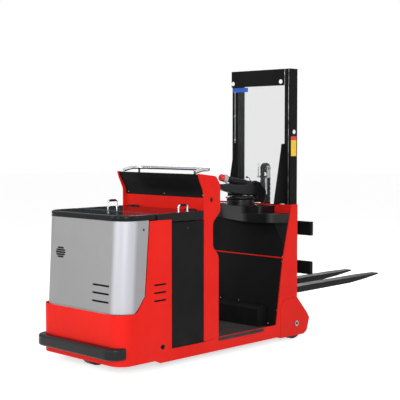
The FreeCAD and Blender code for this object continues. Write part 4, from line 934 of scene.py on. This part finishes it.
# lift cylinder: hose and fitting at its foot; hood side: ring and terminals on the motor
hose = dict(radius=7.0, points=[(1886, -50, 190), (1884, -66, 188), (1868, -96, 176), (1836, -108, 168),
                                (1800, -108, 166), (1771, -108, 166)])
fitting = lathe([(10.0, 20.0), (10.0, 34.0), (12.5, 34.0), (12.5, 44.0), (9.0, 46.0), (9.0, 56.0)],
                (1886, 0, 190), (0, -1, 0), 6)
shape = joinShapes([sweep(spline(hose["points"], 60), circle(hose["radius"], 14)), fitting])
addShape("liftHose", shape, "rubber", "chassis")
bands = [lathe([(92.5, z), (92.5, z + 12), (91.2, z + 13)], (150, 0, 0), (0, 0, 1), 48) for z in (372, 600)]
bands.append(lathe([(60, 640), (60, 652), (56, 656), (20, 657)], (150, 0, 0), (0, 0, 1), 40))
addShape("motorBands", joinShapes(bands), "cast", "drive_unit")
posts = [lathe([(11, 640), (11, 646), (5, 646), (5, 664), (8, 664), (8, 670), (4, 671)],
               (150 + 68 * math.cos(t), 68 * math.sin(t), 0), (0, 0, 1), 12) for t in (0.5, 1.05, 1.6)]
addShape("motorPosts", joinShapes(posts), "steel", "drive_unit", smooth=False)

# fork latches, and weld beads whose half-round section swells along the run
latch = [(10.0, 0.0), (10.0, 6.0), (8.0, 7.5), (8.0, 16.0), (6.5, 18.0), (2.0, 18.5)]
shape = joinShapes([lathe(latch, (1958, y, 898), (0, 0, 1), 18) for y in (-144, 144)])
addShape("forkLatches", shape, "steel", "carriage")


def weldBead(start, end, radius=3.2, ripple=4.5):
    # radius times 1 + 0.14 sin(2 pi s / ripple), with s the way along the seam
    start, end = np.asarray(start, float), np.asarray(end, float)
    run = np.linalg.norm(end - start)
    s = np.arange(0, run, ripple / 4)
    swell = radius * (1 + 0.14 * np.sin(2 * math.pi * s / ripple))
    return lathe([(0.5, -0.5)] + list(zip(swell, s)) + [(0.5, run)], start, end - start, 8)


beads = {
    "gussetBeads": dict(body="chassis", runs=bothSides([(1827, -246, 1022), (1827, -246, 1470)])),
    "bracketBeads": dict(body="chassis", runs=np.concatenate(
        [bothSides([(1771, -292, z), (1771, -243, z)]) for z in (180, 300, 780, 900)])),
    "carriageBeads": dict(body="carriage", runs=np.concatenate(
        [bothSides([(1935, -204.5, a), (1935, -204.5, b)]) for a, b in ((482, 570), (774, 866))])),
}
for name, row in beads.items():
    runs = np.asarray(row["runs"]).reshape(-1, 2, 3)
    addShape(name, joinShapes([weldBead(a, b) for a, b in runs]), "black_paint", row["body"])
print("welds run")


# camera at the photograph's viewing angle
shot = dict(place=(-5.674, -5.1403, 1.5201), heading=44.395, pitch=-3.3076, lens=89.68,
            shift=(-0.0017, -0.01105))
cameraData = bpy.data.cameras.new("shotCamera")
cameraData.lens = shot["lens"]
cameraData.sensor_width = 36.0
cameraData.shift_x, cameraData.shift_y = shot["shift"]
camera = bpy.data.objects.new("shotCamera", cameraData)
heading, pitch = math.radians(shot["heading"]), math.radians(shot["pitch"])
ahead = Vector((math.cos(heading) * math.cos(pitch), math.sin(heading) * math.cos(pitch), math.sin(pitch)))
camera.location = shot["place"]
camera.rotation_euler = ahead.to_track_quat("-Z", "Y").to_euler()
bpy.context.scene.collection.objects.link(camera)
bpy.context.scene.camera = camera

# floor, soft lamps and a white surround
studio = dict(floorSize=60.0, floorColour=(0.86, 0.86, 0.86), floorShow=0.66, worldLight=0.34,
              lamps=[dict(name="keyLamp", place=(-5.6, -5.4, 2.4), aim=(-0.4, -0.2, 0.7),
                          size=1.8, power=265),
                     dict(name="sideLamp", place=(1.8, -6.0, 2.6), aim=(0.2, 0, 0.7),
                          size=2.5, power=60,
                          tint=(0.90, 0.93, 1.0)),
                     dict(name="topLamp", place=(0.0, 0.5, 5.2), aim=(0, 0, 0.4),
                          size=3.0, power=50),
                     dict(name="frontLamp", place=(5.0, 4.5, 3.2), aim=(0.6, 0, 0.7),
                          size=3.0, power=150),
                     dict(name="rearLamp", place=(-5.5, 2.6, 2.6), aim=(-1, 0, 0.6),
                          size=2.0, power=45,
                          tint=(1.0, 0.99, 0.97)),
                     dict(name="lowLamp", place=(-6.5, -0.6, 1.45), aim=(-0.2, 0.0, 0.95),
                          size=0.8, power=55)],
              flags=[dict(name="farFlag", low=(-3.5, 4.2, 0.9), high=(7.5, 4.2, 2.2)),
                     dict(name="aheadFlag", low=(6.0, -2.5, 0.9), high=(6.0, 4.2, 2.2))],
              flagColour=(0.022, 0.030, 0.033))
for lamp in studio["lamps"]:
    data = bpy.data.lights.new(lamp["name"], "AREA")
    data.shape = "SQUARE"
    data.size = lamp["size"]
    data.energy = lamp["power"]
    data.color = lamp.get("tint", (1.0, 1.0, 1.0))
    holder = bpy.data.objects.new(lamp["name"], data)
    holder.location = lamp["place"]
    holder.rotation_euler = (Vector(lamp["aim"]) - Vector(lamp["place"])).to_track_quat("-Z", "Y").to_euler()
    bpy.context.scene.collection.objects.link(holder)


def seenRays(tree):
    # 1 for rays from the camera, off a gloss or through the clear sheet, else 0
    paths = addNode(tree, "LightPath")
    seen = mathNode(tree, "MAXIMUM", paths.outputs["Is Camera Ray"], paths.outputs["Is Glossy Ray"])
    return mathNode(tree, "MAXIMUM", seen, paths.outputs["Is Transmission Ray"])


world = bpy.data.worlds.new("studioWorld")
bpy.context.scene.world = world
world.use_nodes = True
tree = world.node_tree
tree.nodes.clear()
lit = addNode(tree, "Background", Strength=studio["worldLight"])
shown = addNode(tree, "Background", Strength=1.0)
for background in (lit, shown):
    background.inputs[0].default_value = (1.0, 1.0, 1.0, 1.0)
either = addNode(tree, "MixShader")
wire(tree, seenRays(tree), either.inputs[0])
wire(tree, lit.outputs[0], either.inputs[1])
wire(tree, shown.outputs[0], either.inputs[2])
wire(tree, either.outputs[0], addNode(tree, "OutputWorld").inputs[0])

half = studio["floorSize"] / 2
floorMesh = bpy.data.meshes.new("studioFloor")
floorCorners = [(-half, -half, 0), (half, -half, 0), (half, half, 0), (-half, half, 0)]
floorMesh.from_pydata(floorCorners, [], [(0, 1, 2, 3)])
floor = bpy.data.objects.new("studioFloor", floorMesh)
bpy.context.scene.collection.objects.link(floor)
floorMaterial = bpy.data.materials.new("studioFloor")
floorMaterial.use_nodes = True
floorShader = floorMaterial.node_tree.nodes["Principled BSDF"]
floorShader.inputs["Base Color"].default_value = studio["floorColour"] + (1.0,)
floorShader.inputs["Roughness"].default_value = 0.9
floorShader.inputs["Specular IOR Level"].default_value = 0.1
floorTree = floorMaterial.node_tree
glow = mathNode(floorTree, "MULTIPLY", seenRays(floorTree), studio["floorShow"])
wire(floorTree, glow, floorShader.inputs["Emission Strength"])
floorShader.inputs["Emission Color"].default_value = (1.0, 1.0, 1.0, 1.0)
floorMesh.materials.append(floorMaterial)

# dark cards out of the picture, that only glossy surfaces mirror, as a photographer sets them for black gloss
flagMaterial = bpy.data.materials.new("studioFlag")
flagMaterial.use_nodes = True
flagShader = flagMaterial.node_tree.nodes["Principled BSDF"]
flagShader.inputs["Base Color"].default_value = (0.0, 0.0, 0.0, 1.0)
flagShader.inputs["Specular IOR Level"].default_value = 0.0
flagShader.inputs["Emission Color"].default_value = studio["flagColour"] + (1.0,)
flagShader.inputs["Emission Strength"].default_value = 1.0
for row in studio["flags"]:
    low, high = np.array(row["low"]), np.array(row["high"])
    flagMesh = bpy.data.meshes.new(row["name"])
    flagMesh.from_pydata([tuple(low), (high[0], high[1], low[2]), tuple(high), (low[0], low[1], high[2])], [],
                         [(0, 1, 2, 3)])
    flagMesh.materials.append(flagMaterial)
    flag = bpy.data.objects.new(row["name"], flagMesh)
    bpy.context.scene.collection.objects.link(flag)
    flag.visible_camera = flag.visible_diffuse = flag.visible_transmission = flag.visible_shadow = False
bpy.context.scene.view_settings.view_transform = "Standard"
print("studio set")
